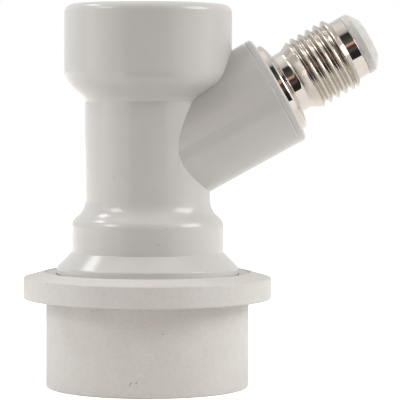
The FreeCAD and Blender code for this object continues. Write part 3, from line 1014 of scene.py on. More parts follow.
@dataclass
class Body:
    """The moulded body: foot tube, skirt, waist, shoulder, neck, head and side arm."""

    finish: MouldedPlastic
    arm: Arm = field(default_factory=Arm)
    tube_radius: float = 11.4 * MM
    foot_rounding: float = 0.3 * MM
    groove_radius: float = 10.6 * MM
    groove_low: float = 1.15 * MM
    groove_high: float = 2.25 * MM
    skirt_radius: float = 13.25 * MM
    skirt_base: float = 14.8 * MM
    skirt_top: float = 17.5 * MM
    skirt_rounding: float = 0.4 * MM
    skirt_rim: float = 16.5 * MM
    skirt_undercut: float = 0.5 * MM
    undercut_rounding: float = 0.15 * MM
    skirt_lower_rounding: float = 0.25 * MM
    waist_radius: float = 11.1 * MM
    waist_base: float = 19.66 * MM
    waist_top: float = 24.15 * MM
    waist_rounding: float = 1.65 * MM
    waist_base_rounding: float = 0.12 * MM
    mould_line: float = 21.4 * MM
    mould_line_height: float = 0.012 * MM
    mould_line_width: float = 0.14 * MM
    neck_radius: float = 9.15 * MM
    neck_base: float = 25.9 * MM
    neck_top: float = 41.6 * MM
    neck_flare: float = 0.43 * MM
    neck_flare_top: float = 42.35 * MM
    neck_flare_rounding: float = 2.0 * MM
    shoulder_rounding: float = 3.5 * MM
    neck_top_rounding: float = 0.25 * MM
    head_radius: float = 12.2 * MM
    head_base: float = 44.6 * MM
    head_cone_rounding: float = 3.1 * MM
    head_rounding: float = 1.3 * MM
    lower_bore: float = 8.8 * MM
    lower_bore_top: float = 9.0 * MM
    mouth_chamfer: float = 0.6 * MM
    seal_bore: float = 7.7 * MM
    seal_bore_top: float = 14.5 * MM
    lead_in: float = 0.5 * MM
    pin_pocket: float = 6.8 * MM
    web_base: float = 17.5 * MM
    web_top: float = 20.5 * MM
    seat_hole: float = 2.3 * MM
    chamber: float = 5.5 * MM
    plug_bore: float = 8.1 * MM
    plug_bore_base: float = 46.4 * MM
    gasket_seat: float = 52.4 * MM
    cap_seat: float = 10.4 * MM
    cap_seat_chamfer: float = 0.15 * MM

    def outside(self, foot: float, top: float) -> bpy.types.Object:
        """The turned outside, with the ring's groove and the faint mould line.

        Args:
            foot: height of the tube's lower end.
            top: height of the head's upper end.

        Returns:
            A solid without bores.
        """
        line_low = self.mould_line - self.mould_line_width / 2.0
        line_high = self.mould_line + self.mould_line_width / 2.0
        undercut = self.skirt_radius - self.skirt_undercut
        return turned("body", [
            Corner(0.0, foot),
            Corner(self.tube_radius, foot, self.foot_rounding),
            Corner(self.tube_radius, self.groove_low),
            Corner(self.groove_radius, self.groove_low),
            Corner(self.groove_radius, self.groove_high),
            Corner(self.tube_radius, self.groove_high),
            Corner(self.tube_radius, self.skirt_base),
            Corner(undercut, self.skirt_base, self.undercut_rounding),
            Corner(undercut, self.skirt_rim - self.skirt_undercut, self.undercut_rounding),
            Corner(self.skirt_radius, self.skirt_rim, self.skirt_lower_rounding),
            Corner(self.skirt_radius, self.skirt_top, self.skirt_rounding),
            Corner(self.waist_radius, self.waist_base, self.waist_base_rounding),
            Corner(self.waist_radius, line_low, 0.0),
            Corner(self.waist_radius + self.mould_line_height, self.mould_line, 0.0),
            Corner(self.waist_radius, line_high, 0.0),
            Corner(self.waist_radius, self.waist_top, self.waist_rounding),
            Corner(self.neck_radius, self.neck_base, self.shoulder_rounding),
            Corner(self.neck_radius, self.neck_top, self.neck_top_rounding),
            Corner(self.neck_radius + self.neck_flare, self.neck_flare_top, self.neck_flare_rounding),
            Corner(self.head_radius, self.head_base, self.head_cone_rounding),
            Corner(self.head_radius, top, self.head_rounding),
            Corner(0.0, top),
        ], segments=288)

    def shaft(self, foot: float, top: float) -> bpy.types.Object:
        """The post's socket, the valve chamber and the cap's seat, as one solid to remove.

        Args:
            foot: height of the tube's lower end.
            top: height of the head's upper end.

        Returns:
            The solid of the bores.
        """
        mouth = self.lower_bore + self.mouth_chamfer
        cap_mouth = self.cap_seat + self.cap_seat_chamfer
        return turned("shaft", [
            Corner(0.0, foot - CUT_OVER),
            Corner(mouth, foot - CUT_OVER, 0.0),
            Corner(mouth, foot, 0.0),
            Corner(self.lower_bore, foot + self.mouth_chamfer),
            Corner(self.lower_bore, self.lower_bore_top - self.lead_in),
            Corner(self.seal_bore, self.lower_bore_top),
            Corner(self.seal_bore, self.seal_bore_top),
            Corner(self.pin_pocket, self.seal_bore_top),
            Corner(self.pin_pocket, self.web_base),
            Corner(self.seat_hole, self.web_base),
            Corner(self.seat_hole, self.web_top),
            Corner(self.chamber, self.web_top),
            Corner(self.chamber, self.plug_bore_base),
            Corner(self.plug_bore, self.plug_bore_base),
            Corner(self.plug_bore, self.gasket_seat),
            Corner(self.cap_seat, self.gasket_seat),
            Corner(self.cap_seat, top - self.cap_seat_chamfer, 0.0),
            Corner(cap_mouth, top, 0.0),
            Corner(cap_mouth, top + CUT_OVER, 0.0),
            Corner(0.0, top + CUT_OVER),
        ])

    def build(self, effects: Effects, lock: "BallLock") -> None:
        """Builds the body with its pockets and dresses it.

        Args:
            effects: the shared node groups.
            lock: the ball lock, which gives the pockets their places.
        """
        low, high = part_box("body")
        column = self.outside(low.z, high.z)
        combine(column, Cut.JOIN, self.arm.outside())
        combine(column, Cut.REMOVE, self.shaft(low.z, high.z), self.arm.bores(), *lock.pockets())
        self.arm.crease(column)
        column.name = "moulded_body"
        fit(column, "body", "body", self.finish.material(effects))


@dataclass
class BallLock:
    """The six balls, the split ring and the collar's spring."""

    ball_metal: PolishedMetal
    ring_metal: PolishedMetal
    spring_metal: PolishedMetal
    ball_count: int = 6
    pocket_clearance: float = 0.06 * MM
    centre_radius: float = 9.75 * MM
    ball_radius: float = 2.0 * MM
    ball_rings: int = 32
    ball_segments: int = 64
    pocket_reach: float = 4.0 * MM
    ring_inner: float = 10.65 * MM
    ring_split: float = 3.2 * MM
    spring_wire: float = 0.9 * MM
    spring_turns: float = 2.5
    spring_closed_turns: float = 0.25
    spring_keep: float = 0.515

    def ball_angle(self, index: int) -> float:
        """Angle of one ball round the axis, half a step away from the arm's plane."""
        return (index + 0.5) * FULL_TURN / self.ball_count

    def globe(self, name: str, radius: float, reach: float = 0.0) -> bpy.types.Object:
        """A ball about +Z, or a rounded plug where it is drawn out by a reach.

        Args:
            name: the new object's name.
            radius: the ball's radius.
            reach: how far its upper end is drawn up.

        Returns:
            The new object, centred on the origin.
        """
        rows = []
        for step in range(self.ball_rings + 1):
            angle = math.pi * (step / self.ball_rings - 0.5)
            height = radius * math.sin(angle)
            if 2 * step > self.ball_rings:
                height += reach
            rows.append(ring_row(max(radius * math.cos(angle), 0.0), height, self.ball_segments))
        return skin(name, rows, wrap_rows=False)

    def placed(self, piece: bpy.types.Object, index: int, ball_z: float) -> bpy.types.Object:
        """Lays a shape about +Z outwards at one ball's place."""
        outwards = Matrix.Rotation(math.pi / 2.0, 4, "Y")
        place = Matrix.Translation((self.centre_radius, 0.0, ball_z))
        piece.data.transform(Matrix.Rotation(self.ball_angle(index), 4, "Z") @ place @ outwards)
        return piece

    def ball_height(self) -> float:
        """Height of the balls' centres, from the frame."""
        low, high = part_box("lock_ball_1")
        return (low.z + high.z) / 2.0

    def pockets(self) -> list[bpy.types.Object]:
        """The solids that cut the ball pockets through the tube's wall."""
        radius = self.ball_radius + self.pocket_clearance
        plugs = []
        for index in range(self.ball_count):
            plug = self.globe("pocket_" + str(index + 1), radius, reach=self.pocket_reach)
            plugs.append(self.placed(plug, index, self.ball_height()))
        return plugs

    def ring(self) -> bpy.types.Object:
        """The split ring, its gap turned to the back."""
        low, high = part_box("retaining_ring")
        outer = -low.y
        half_gap = self.ring_split / 2.0 / outer
        start = math.pi / 2.0 + half_gap
        corners = washer_corners(self.ring_inner, outer, low.z, high.z)
        return turned("retaining_ring_steel", corners, start=start, sweep=FULL_TURN - 2.0 * half_gap)

    def spring(self) -> bpy.types.Object:
        """The spring between the collar's ledge and the body's skirt."""
        low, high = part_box("collar_spring")
        mean = high.x - self.spring_wire / 2.0
        coil = Coil(mean, self.spring_wire, low.z, high.z, self.spring_turns, self.spring_closed_turns)
        return coil.build("collar_spring_wire")

    def build(self, effects: Effects) -> None:
        """Builds the balls, the ring and the spring, and dresses them.

        Args:
            effects: the shared node groups.
        """
        ball_material = self.ball_metal.material(effects)
        for index in range(self.ball_count):
            name = "lock_ball_" + str(index + 1)
            ball = self.placed(self.globe(name + "_steel", self.ball_radius), index, self.ball_height())
            fit(ball, name, name, ball_material)
        fit(self.ring(), "retaining_ring", "body", self.ring_metal.material(effects))
        spring = self.spring()
        fit(spring, "collar_spring", "body", self.spring_metal.material(effects))
        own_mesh(spring)


@dataclass
class Collar:
    """The flanged locking sleeve round the body's foot."""

    finish: MouldedPlastic
    sleeve_radius: float = 14.8 * MM
    flange_thickness: float = 3.1 * MM
    flange_rounding: float = 0.25 * MM
    flange_root_rounding: float = 0.15 * MM
    sleeve_rounding: float = 0.2 * MM
    top_edge: float = 16.0 * MM
    mouth_radius: float = 15.1 * MM
    mouth_rounding: float = 0.12 * MM
    recess_radius: float = 14.7 * MM
    recess_depth: float = 0.2 * MM
    recess_rounding: float = 0.2 * MM
    mouth_base: float = 16.5 * MM
    mouth_lip: float = 13.33 * MM
    mouth_lip_height: float = 0.25 * MM
    mouth_lip_drop: float = 0.4 * MM
    mouth_lip_rounding: float = 0.05 * MM
    cavity_radius: float = 13.45 * MM
    ledge_z: float = 8.2 * MM
    land_radius: float = 11.55 * MM
    cam_top: float = 6.65 * MM
    cam_base_radius: float = 13.07 * MM
    cam_base: float = 2.3 * MM
    relief_radius: float = 13.5 * MM
    ripple: float = 0.035 * MM
    ripple_size: float = 0.7 * MM
    ripple_start: float = 0.1

    def roughen(self, collar: bpy.types.Object, outer: float) -> None:
        """Gives the flange's moulded edges their slight unevenness.

        Args:
            collar: the collar's object.
            outer: the flange's radius.
        """
        edge = outer - 2.0 * self.flange_rounding
        for vertex in collar.data.vertices:
            radius = math.hypot(vertex.co.x, vertex.co.y)
            if radius > edge:
                push = self.ripple * min(0.0, noise.noise(vertex.co / self.ripple_size) - self.ripple_start)
                vertex.co.x += vertex.co.x / radius * push
                vertex.co.y += vertex.co.y / radius * push

    def build(self, effects: Effects) -> None:
        """Builds the collar and dresses it.

        Args:
            effects: the shared node groups.
        """
        low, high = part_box("collar")
        flange_base = self.top_edge - self.flange_thickness
        collar = turned("locking_collar", [
            Corner(self.relief_radius, low.z),
            Corner(self.sleeve_radius, low.z, self.sleeve_rounding),
            Corner(self.sleeve_radius, flange_base, self.flange_root_rounding),
            Corner(high.x, flange_base, self.flange_rounding),
            Corner(high.x, self.top_edge, self.flange_rounding),
            Corner(self.mouth_radius, high.z, self.mouth_rounding),
            Corner(self.recess_radius, high.z - self.recess_depth, self.recess_rounding),
            Corner(self.mouth_lip, self.mouth_base, self.mouth_lip_rounding),
            Corner(self.mouth_lip, self.mouth_base - self.mouth_lip_height, self.mouth_lip_rounding),
            Corner(self.cavity_radius, self.mouth_base - self.mouth_lip_drop),
            Corner(self.cavity_radius, self.ledge_z),
            Corner(self.land_radius, self.ledge_z),
            Corner(self.land_radius, self.cam_top),
            Corner(self.cam_base_radius, self.cam_base),
            Corner(self.relief_radius, self.cam_base),
        ], segments=432)
        self.roughen(collar, high.x)
        fit(collar, "collar", "collar", self.finish.material(effects))


@dataclass
class Valve:
    """The plunger, its seal and its spring."""

    plastic: MouldedPlastic
    rubber: Rubber
    metal: PolishedMetal
    tip_radius: float = 1.6 * MM
    flange_base: float = 21.6 * MM
    flange_top: float = 23.0 * MM
    flange_rounding: float = 0.12 * MM
    guide_radius: float = 1.8 * MM
    end_rounding: float = 0.5 * MM
    seal_bore: float = 1.65 * MM
    seal_rounding: float = 0.15 * MM
    spring_wire: float = 0.6 * MM
    spring_turns: float = 8.0
    spring_closed_turns: float = 1.0
    spring_keep: float = 0.903
    segments: int = 128

    def build(self, effects: Effects) -> None:
        """Builds the three pieces and dresses them.

        Args:
            effects: the shared node groups.
        """
        low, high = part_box("valve_pin")
        pin = turned("valve_plunger", [
            Corner(0.0, low.z),
            Corner(self.tip_radius, low.z, self.end_rounding),
            Corner(self.tip_radius, self.flange_base),
            Corner(high.x, self.flange_base, self.flange_rounding),
            Corner(high.x, self.flange_top, self.flange_rounding),
            Corner(self.guide_radius, self.flange_top),
            Corner(self.guide_radius, high.z, self.end_rounding),
            Corner(0.0, high.z),
        ], segments=self.segments)
        fit(pin, "valve_pin", "valve", self.plastic.material(effects))
        low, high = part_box("valve_seal")
        corners = washer_corners(self.seal_bore, high.x, low.z, high.z, self.seal_rounding)
        seal = turned("valve_seal_rubber", corners, segments=self.segments)
        fit(seal, "valve_seal", "valve", self.rubber.material(effects))
        low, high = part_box("valve_spring")
        mean = high.x - self.spring_wire / 2.0
        coil = Coil(mean, self.spring_wire, low.z, high.z, self.spring_turns, self.spring_closed_turns)
        spring = coil.build("valve_spring_wire")
        fit(spring, "valve_spring", "body", self.metal.material(effects))
        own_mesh(spring)


@dataclass
class Cap:
    """The screw cap with its coin slot, and the gasket under it."""

    plastic: MouldedPlastic
    rubber: Rubber
    disc_base: float = 53.4 * MM
    rounding: float = 0.4 * MM
    plug_radius: float = 8.0 * MM
    thread_depth: float = 0.6 * MM
    thread_pitch: float = 2.0 * MM
    thread_crest: float = 0.16
    thread_flank: float = 0.2
    thread_fade: float = 1.2
    thread_stop: float = 0.8 * MM
    thread_samples: tuple[float, ...] = (0.0, 0.1, 0.14, 0.34, 0.38, 0.5, 0.62, 0.66, 0.86, 0.9)
    hollow_radius: float = 4.2 * MM
    hollow_top: float = 49.9 * MM
    slot_width: float = 2.4 * MM
    slot_length: float = 15.0 * MM
    slot_depth: float = 1.5 * MM
    slot_corner: float = 0.4
    slot_steps: int = 12
    gasket_bore: float = 8.2 * MM
    gasket_rounding: float = 0.15 * MM
    segments: int = 192

    def thread_radius(self, phase: float) -> float:
        """Radius of the plug's thread at a phase of its pitch."""
        flank = min(max((abs(phase - 0.5) - self.thread_crest) / self.thread_flank, 0.0), 1.0)
        return self.plug_radius - self.thread_depth * flank

    def blank(self, low: float, high: float, outer: float) -> bpy.types.Object:
        """The cap before its slot is cut.

        Args:
            low: height of the plug's end.
            high: height of the disc's face.
            outer: the disc's radius.

        Returns:
            The new object.
        """
        root = self.plug_radius - self.thread_depth
        thread_low = low + self.rounding
        thread_high = self.disc_base - self.thread_stop
        inside = sheet_rows([
            Corner(0.0, self.hollow_top, 0.0),
            Corner(self.hollow_radius, self.hollow_top),
            Corner(self.hollow_radius, low),
            Corner(root, low, self.rounding / 2.0),
            Corner(root, thread_low, 0.0),
        ], self.segments)
        turns = (thread_high - thread_low) / self.thread_pitch + 1.0
        start = thread_low - self.thread_pitch
        thread = helical_rows(
            turns + 1.0, self.thread_pitch, start, self.thread_radius, self.thread_samples, self.segments
        )

        def fade(radius: float, height: float) -> float:
            """The radius at a height, so that both ends of the thread run out."""
            room = min(height - thread_low, thread_high - height)
            return min(radius, root + max(room, 0.0) * self.thread_fade)

        thread = trimmed(thread, thread_low, thread_high, fade)
        above = sheet_rows([
            Corner(root, thread_high, 0.0),
            Corner(root, self.disc_base),
            Corner(outer, self.disc_base),
            Corner(outer, high, self.rounding),
            Corner(0.0, high, 0.0),
        ], self.segments)
        return skin("screw_cap", inside + thread + above, wrap_rows=False)

    def slot(self, high: float) -> bpy.types.Object:
        """The coin slot's solid, with rounded ends."""
        length, width = self.slot_length / 2.0, self.slot_width / 2.0
        corner = self.slot_corner * width
        rows = []
        for height in (high - self.slot_depth, high + CUT_OVER):
            row = []
            for end in (1.0, -1.0):
                for step in range(self.slot_steps + 1):
                    angle = math.pi * (step / self.slot_steps - 0.5)
                    x = end * (length - corner + corner * math.cos(angle))
                    row.append(Vector((x, end * width * math.sin(angle), height)))
            row.append(row[0])
            rows.append(row)
        middle = [[Vector((0.0, 0.0, row[0].z))] * len(row) for row in rows]
        return skin("slot", [middle[0], rows[0], rows[1], middle[1]], wrap_rows=False)

    def build(self, effects: Effects) -> None:
        """Builds the cap and the gasket and dresses them.

        Args:
            effects: the shared node groups.
        """
        low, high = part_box("cap")
        cap = self.blank(low.z, high.z, high.x)
        combine(cap, Cut.REMOVE, self.slot(high.z))
        fit(cap, "cap", "cap", self.plastic.material(effects))
        low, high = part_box("cap_gasket")
        corners = washer_corners(self.gasket_bore, high.x, low.z, high.z, self.gasket_rounding)
        gasket = turned("cap_gasket_rubber", corners, segments=self.segments)
        fit(gasket, "cap_gasket", "gasket", self.rubber.material(effects))


@dataclass
class Stem:
    """The metal stem with its flare thread, its rubber ring and its white seat washer."""

    arm: Arm
    metal: PolishedMetal
    rubber: Rubber
    plastic: MilkyPlastic
    flow_radius: float = 2.5 * MM
    shank_radius: float = 5.45 * MM
    shank_end: float = 14.5 * MM
    shank_rounding: float = 0.3 * MM
    groove_radius: float = 4.1 * MM
    groove_width: float = 1.7 * MM
    flange_seat: float = 21.1 * MM
    flange_radius: float = 6.86 * MM
    flange_face: float = 23.45 * MM
    flange_face_rounding: float = 0.12 * MM
    flange_edge: float = 22.64 * MM
    flange_edge_rounding: float = 0.05 * MM
    flange_bevel: float = 0.2 * MM
    flange_bevel_rounding: float = 0.1 * MM
    flange_dish: float = 23.16 * MM
    flange_dish_radius: float = 5.9 * MM
    flange_dish_rounding: float = 0.3 * MM
    neck_radius: float = 4.62 * MM
    thread_base: float = 24.85 * MM
    thread_top: float = 33.0 * MM
    thread_major: float = 5.5 * MM
    thread_root: float = 4.86 * MM
    thread_pitch: float = 1.27 * MM
    thread_samples: int = 16
    neck_fillet: float = 0.9 * MM
    lead_in: float = 1.6 * MM
    plain_lead_in: float = 1.25 * MM
    run_out: float = 0.45 * MM
    end_chamfer: float = 0.65 * MM
    end_radius: float = 4.67 * MM
    end_base_rounding: float = 0.1 * MM
    end_rounding: float = 0.12 * MM
    end: float = 34.7 * MM
    washer_socket: float = 3.15 * MM
    washer_socket_base: float = 30.65 * MM
    washer_bore: float = 2.0 * MM
    washer_spigot: float = 3.1 * MM
    washer_spigot_end: float = 30.7 * MM
    washer_rim: float = 4.65 * MM
    washer_rim_end: float = 35.82 * MM
    washer_rim_rounding: float = 0.1 * MM
    washer_nose: float = 3.05 * MM
    washer_tip: float = 37.0 * MM
    washer_nose_rounding: float = 0.12 * MM
    washer_bore_rounding: float = 0.15 * MM
    seal_mean: float = 4.8 * MM
    seal_wire: float = 0.68 * MM
    seal_squeeze: float = 0.93
    seal_roundness: float = 0.98
    thread_shift: float = 1.02 * MM
    segments: int = 256

    def thread_radius(self, phase: float) -> float:
        """Radius of the thread at a phase of its pitch, with a rounded crest and root."""
        wave = 0.5 + 0.5 * math.cos(FULL_TURN * (phase - 0.5))
        return self.thread_root + (self.thread_major - self.thread_root) * wave

    def lead_in_radius(self, height: float) -> float:
        """Radius of the smooth cone between the neck and the thread."""
        rise = self.thread_major - self.neck_radius
        return min(self.thread_major, self.neck_radius + (height - self.thread_base) * rise / self.lead_in)

    def shaped(self, radius: float, height: float) -> float:
        """The thread's radius at a height, run out into the smooth lead-in cone and end chamfer."""
        plain = self.lead_in_radius(height)
        room = min(height - self.helix_base, self.helix_top - height)
        share = min(max(room / self.run_out, 0.0), 1.0)
        return min(plain, plain + (radius - plain) * share)

    @property
    def helix_base(self) -> float:
        """Where the thread starts to rise out of its lead-in cone."""
        return self.thread_base + self.plain_lead_in

    @property
    def helix_top(self) -> float:
        """Where the thread has run out into its end chamfer."""
        return self.thread_top - self.end_chamfer

    def stem(self) -> bpy.types.Object:
        """The stem, with its thread as a true helix."""
        groove_middle = (self.shank_end + self.flange_seat) / 2.0
        groove_low = groove_middle - self.groove_width / 2.0
        groove_high = groove_middle + self.groove_width / 2.0
        bevel_top = self.flange_edge + self.flange_bevel
        below = sheet_rows([
            Corner(self.flow_radius, self.washer_socket_base, 0.0),
            Corner(self.flow_radius, self.shank_end),
            Corner(self.shank_radius, self.shank_end, self.shank_rounding),
            Corner(self.shank_radius, groove_low),
            Corner(self.groove_radius, groove_low),
            Corner(self.groove_radius, groove_high),
            Corner(self.shank_radius, groove_high),
            Corner(self.shank_radius, self.flange_seat),
            Corner(self.flange_radius, self.flange_seat),
            Corner(self.flange_radius, self.flange_edge, self.flange_edge_rounding),
            Corner(self.flange_radius - self.flange_bevel, bevel_top, self.flange_bevel_rounding),
            Corner(self.flange_dish_radius, self.flange_dish, self.flange_dish_rounding),
            Corner(self.neck_radius, self.flange_face, self.flange_face_rounding),
            Corner(self.neck_radius, self.thread_base, self.neck_fillet),
            Corner(self.lead_in_radius(self.helix_base), self.helix_base, 0.0),
        ], self.segments)
        samples = [step / self.thread_samples for step in range(self.thread_samples)]
        turns = (self.thread_top - self.thread_base) / self.thread_pitch + 2.0
        start = self.thread_base - self.thread_pitch + self.thread_shift
        thread = helical_rows(turns, self.thread_pitch, start, self.thread_radius, samples, self.segments)
        thread = trimmed(thread, self.helix_base, self.helix_top, self.shaped)
        above = sheet_rows([
            Corner(self.thread_major, self.helix_top, 0.0),
            Corner(self.end_radius, self.thread_top, self.end_base_rounding),
            Corner(self.end_radius, self.end, self.end_rounding),
            Corner(self.washer_socket, self.end),
            Corner(self.washer_socket, self.washer_socket_base),
            Corner(self.flow_radius, self.washer_socket_base, 0.0),
        ], self.segments)
        return skin("flare_stem_metal", below + thread + above, wrap_rows=False)

    def seal(self) -> bpy.types.Object:
        """The rubber ring in the shank's groove."""
        half = self.seal_wire * self.seal_squeeze
        middle = (self.shank_end + self.flange_seat) / 2.0
        around = ((-half, -half), (half, -half), (half, half), (-half, half))
        corners = [Corner(self.seal_mean + x, middle + y, half * self.seal_roundness) for x, y in around]
        return turned("stem_seal_rubber", corners, segments=128)

    def washer(self) -> bpy.types.Object:
        """The seat washer, with its spigot in the stem's end."""
        return turned("seat_washer_plastic", [
            Corner(self.washer_bore, self.washer_spigot_end),
            Corner(self.washer_spigot, self.washer_spigot_end),
            Corner(self.washer_spigot, self.end),
            Corner(self.washer_rim, self.end),
            Corner(self.washer_rim, self.washer_rim_end, self.washer_rim_rounding),
            Corner(self.washer_nose, self.washer_tip, self.washer_nose_rounding),
            Corner(self.washer_bore, self.washer_tip, self.washer_bore_rounding),
        ], segments=192)

    def build(self, effects: Effects) -> None:
        """Builds the stem, the rubber ring and the washer, and dresses them.

        Args:
            effects: the shared node groups.
        """
        pieces = (
            (self.stem(), "flare_stem", Slot.STEM, self.metal),
            (self.seal(), "stem_seal", Slot.SEAL, self.rubber),
            (self.washer(), "seat_washer", Slot.WASHER, self.plastic),
        )
        for piece, node, slot, finish in pieces:
            piece.data.transform(self.arm.frame)
            fit(piece, node, "body", finish.material(effects))


@dataclass(frozen=True)
class Tone:
    """A colour that comes in between two angles, in degrees, as the direction turns or rises."""

    start: float
    full: float
    colour: Colour


@dataclass(frozen=True)
class Lamp:
    """A soft lamp, placed by degrees from the camera's side (positive to the right) and above the floor."""

    name: str
    azimuth: float
    rise: float
    size: Span
    power: float


@dataclass
class Studio:
    """The floor, the surroundings, the lamps and the camera."""

    camera_distance: float = 0.3143
    camera_height: float = 0.0411
    lens: float = 193.8
    yaw: float = math.radians(1.391)
    pitch: float = math.radians(2.522)
    roll: float = math.radians(0.22)
    floor_size: float = 4.0
    floor_front: float = 0.07
    dark_front: Span = (-34.0, 34.0)
    dark_lean: float = -0.144
    dark_top: float = 51.5
    right_lean: float = 0.4
    strength: float = 0.935
    floor_colour: Colour = (0.86, 0.85, 0.83, 1.0)
    floor_glow: float = 0.72
    floor_reflection_glow: tuple[float, ...] = (-0.08, -0.02, 0.75, 0.2)
    white: Colour = (1.0, 1.0, 1.0, 1.0)
    back_left: Colour = (0.93, 0.95, 0.945, 1.0)
    back_left_edge: Span = (-97.0, -93.0)
    front_left: Colour = (1.86, 1.835, 1.82, 1.0)
    front_tones: tuple[Tone, ...] = (Tone(-90.0, -35.0, (0.86, 0.84, 0.82, 1.0)),)
    low_left: Colour = (1.9, 1.84, 1.74, 1.0)
    right_tones: tuple[Tone, ...] = (
        Tone(30.0, 50.0, (0.92, 0.905, 0.885, 1.0)),
        Tone(45.0, 85.0, (1.50, 1.48, 1.45, 1.0)),
        Tone(92.0, 110.0, (0.84, 0.84, 0.83, 1.0)),
    )
    gap_azimuth: float = -95.5
    gap_colour: Colour = (0.2, 0.2, 0.2, 1.0)
    gap_strength: float = 0.45
    high_left: Colour = (1.12, 1.11, 1.09, 1.0)
    high_tones: tuple[Tone, ...] = (
        Tone(-100.0, -45.0, (0.82, 0.80, 0.78, 1.0)),
        Tone(-50.0, -30.0, (0.40, 0.39, 0.38, 1.0)),
    )
    opening_low: Colour = (0.03, 0.028, 0.03, 1.0)
    opening_tones: tuple[Tone, ...] = (
        Tone(-14.0, -3.0, (0.12, 0.105, 0.10, 1.0)),
        Tone(-1.0, 2.0, (0.09, 0.07, 0.062, 1.0)),
        Tone(9.5, 11.0, (0.72, 0.46, 0.37, 1.0)),
    )
    opening_above: Colour = (0.14, 0.12, 0.10, 1.0)
    above_tones: tuple[Tone, ...] = (Tone(20.0, 44.0, (0.05, 0.05, 0.052, 1.0)),)
    lamp_distance: float = 0.9
    lamp_target: Point = (0.0, 0.0, 0.03)
    lamps: tuple[Lamp, ...] = (
        Lamp("left_lamp", -65.0, 33.0, (0.3, 0.24), 1.3),
        Lamp("left_back_lamp", -113.0, 47.0, (0.34, 0.16), 1.0),
        Lamp("right_lamp", 75.0, 32.0, (0.52, 0.38), 3.1),
    )

    def floor(self) -> None:
        """A plain pale floor that shows white to the camera and keeps a soft shadow; in reflections it also glows,
        more strongly towards -X, as a painted reflection.
        """
        half = self.floor_size / 2.0
        rows = [[Vector((-half, y, 0.0)), Vector((half, y, 0.0))] for y in (-self.floor_front, half)]
        floor = skin("floor", rows, wrap_rows=False)
        material = bpy.data.materials.new("pale_floor")
        material.use_nodes = True
        tree = Tree(material.node_tree)
        diffuse = tree.add("BsdfDiffuse")
        diffuse.inputs["Color"].default_value = self.floor_colour
        path = tree.add("LightPath")
        seen = tree.math("ADD", path.outputs["Is Camera Ray"], path.outputs["Is Transmission Ray"], clamp=True)
        split = tree.add("SeparateXYZ")
        tree.feed(split.inputs[0], tree.add("TexCoord").outputs["Object"])
        # Painted reflection: the floor glows for glossy rays, strongly at -X and weakly towards +X.
        painted_reflection_glow = tree.ramp(split.outputs["X"], *self.floor_reflection_glow)
        seen = tree.math("MULTIPLY_ADD", path.outputs["Is Glossy Ray"], painted_reflection_glow, seen)
        glow = tree.add("Emission")
        glow.inputs["Color"].default_value = self.white
        tree.feed(glow.inputs["Strength"], tree.math("MULTIPLY", seen, self.floor_glow))
        both = tree.add("AddShader")
        tree.feed(both.inputs[0], diffuse.outputs[0])
        tree.feed(both.inputs[1], glow.outputs[0])
        tree.feed(tree.add("OutputMaterial").inputs["Surface"], both.outputs[0])
        floor.data.materials.append(material)

    def walls(self, tree: Tree, azimuth: bpy.types.NodeSocket, rise: bpy.types.NodeSocket) -> bpy.types.NodeSocket:
        """The colour of the white walls all round.

        Args:
            tree: the world's tree.
            azimuth: degrees from the camera's side, positive to the right.
            rise: degrees above the floor.

        Returns:
            The colour's socket.
        """
        gap = tree.ramp(tree.math("ABSOLUTE", tree.math("ADD", azimuth, -self.gap_azimuth)), 2.5, 4.5, 1.0, 0.0)
        lit = tree.math("MULTIPLY", tree.ramp(rise, -10.0, -17.0), tree.ramp(azimuth, -30.0, -40.0))
        front = tree.mix(lit, tree.toned(azimuth, self.front_left, self.front_tones), self.low_left)
        walls = tree.mix(tree.ramp(azimuth, *self.back_left_edge), self.back_left, front)
        walls = tree.toned(azimuth, walls, self.right_tones)
        walls = tree.mix(tree.math("MULTIPLY", gap, self.gap_strength), walls, self.gap_colour)
        upper = tree.math("MULTIPLY", tree.ramp(rise, 42.0, 56.0), tree.ramp(azimuth, 20.0, 0.0))
        return tree.mix(upper, walls, tree.toned(azimuth, self.high_left, self.high_tones))

    def opening(self, tree: Tree, rise: bpy.types.NodeSocket) -> bpy.types.NodeSocket:
        """The colour inside the dark opening in front, with a warm strip at the camera's height."""
        strip = tree.toned(rise, self.opening_low, self.opening_tones)
        above = tree.toned(rise, self.opening_above, self.above_tones)
        return tree.mix(tree.ramp(rise, 18.0, 19.5), strip, above)

    def opening_mask(
        self, tree: Tree, azimuth: bpy.types.NodeSocket, rise: bpy.types.NodeSocket
    ) -> bpy.types.NodeSocket:
        """Where the dark opening lies: between two leaning edges and below its top."""
        left, right = self.dark_front
        left_edge = tree.math("MULTIPLY_ADD", rise, -self.dark_lean, azimuth)
        right_edge = tree.math("MULTIPLY_ADD", tree.math("MINIMUM", rise, 0.0), self.right_lean, azimuth)
        beyond_left = tree.ramp(left_edge, left - 1.0, left + 1.0)
        before_right = tree.ramp(right_edge, right + 1.0, right - 1.0)
        below_top = tree.ramp(rise, self.dark_top + 3.0, self.dark_top - 3.0)
        return tree.math("MULTIPLY", tree.math("MULTIPLY", beyond_left, before_right), below_top)

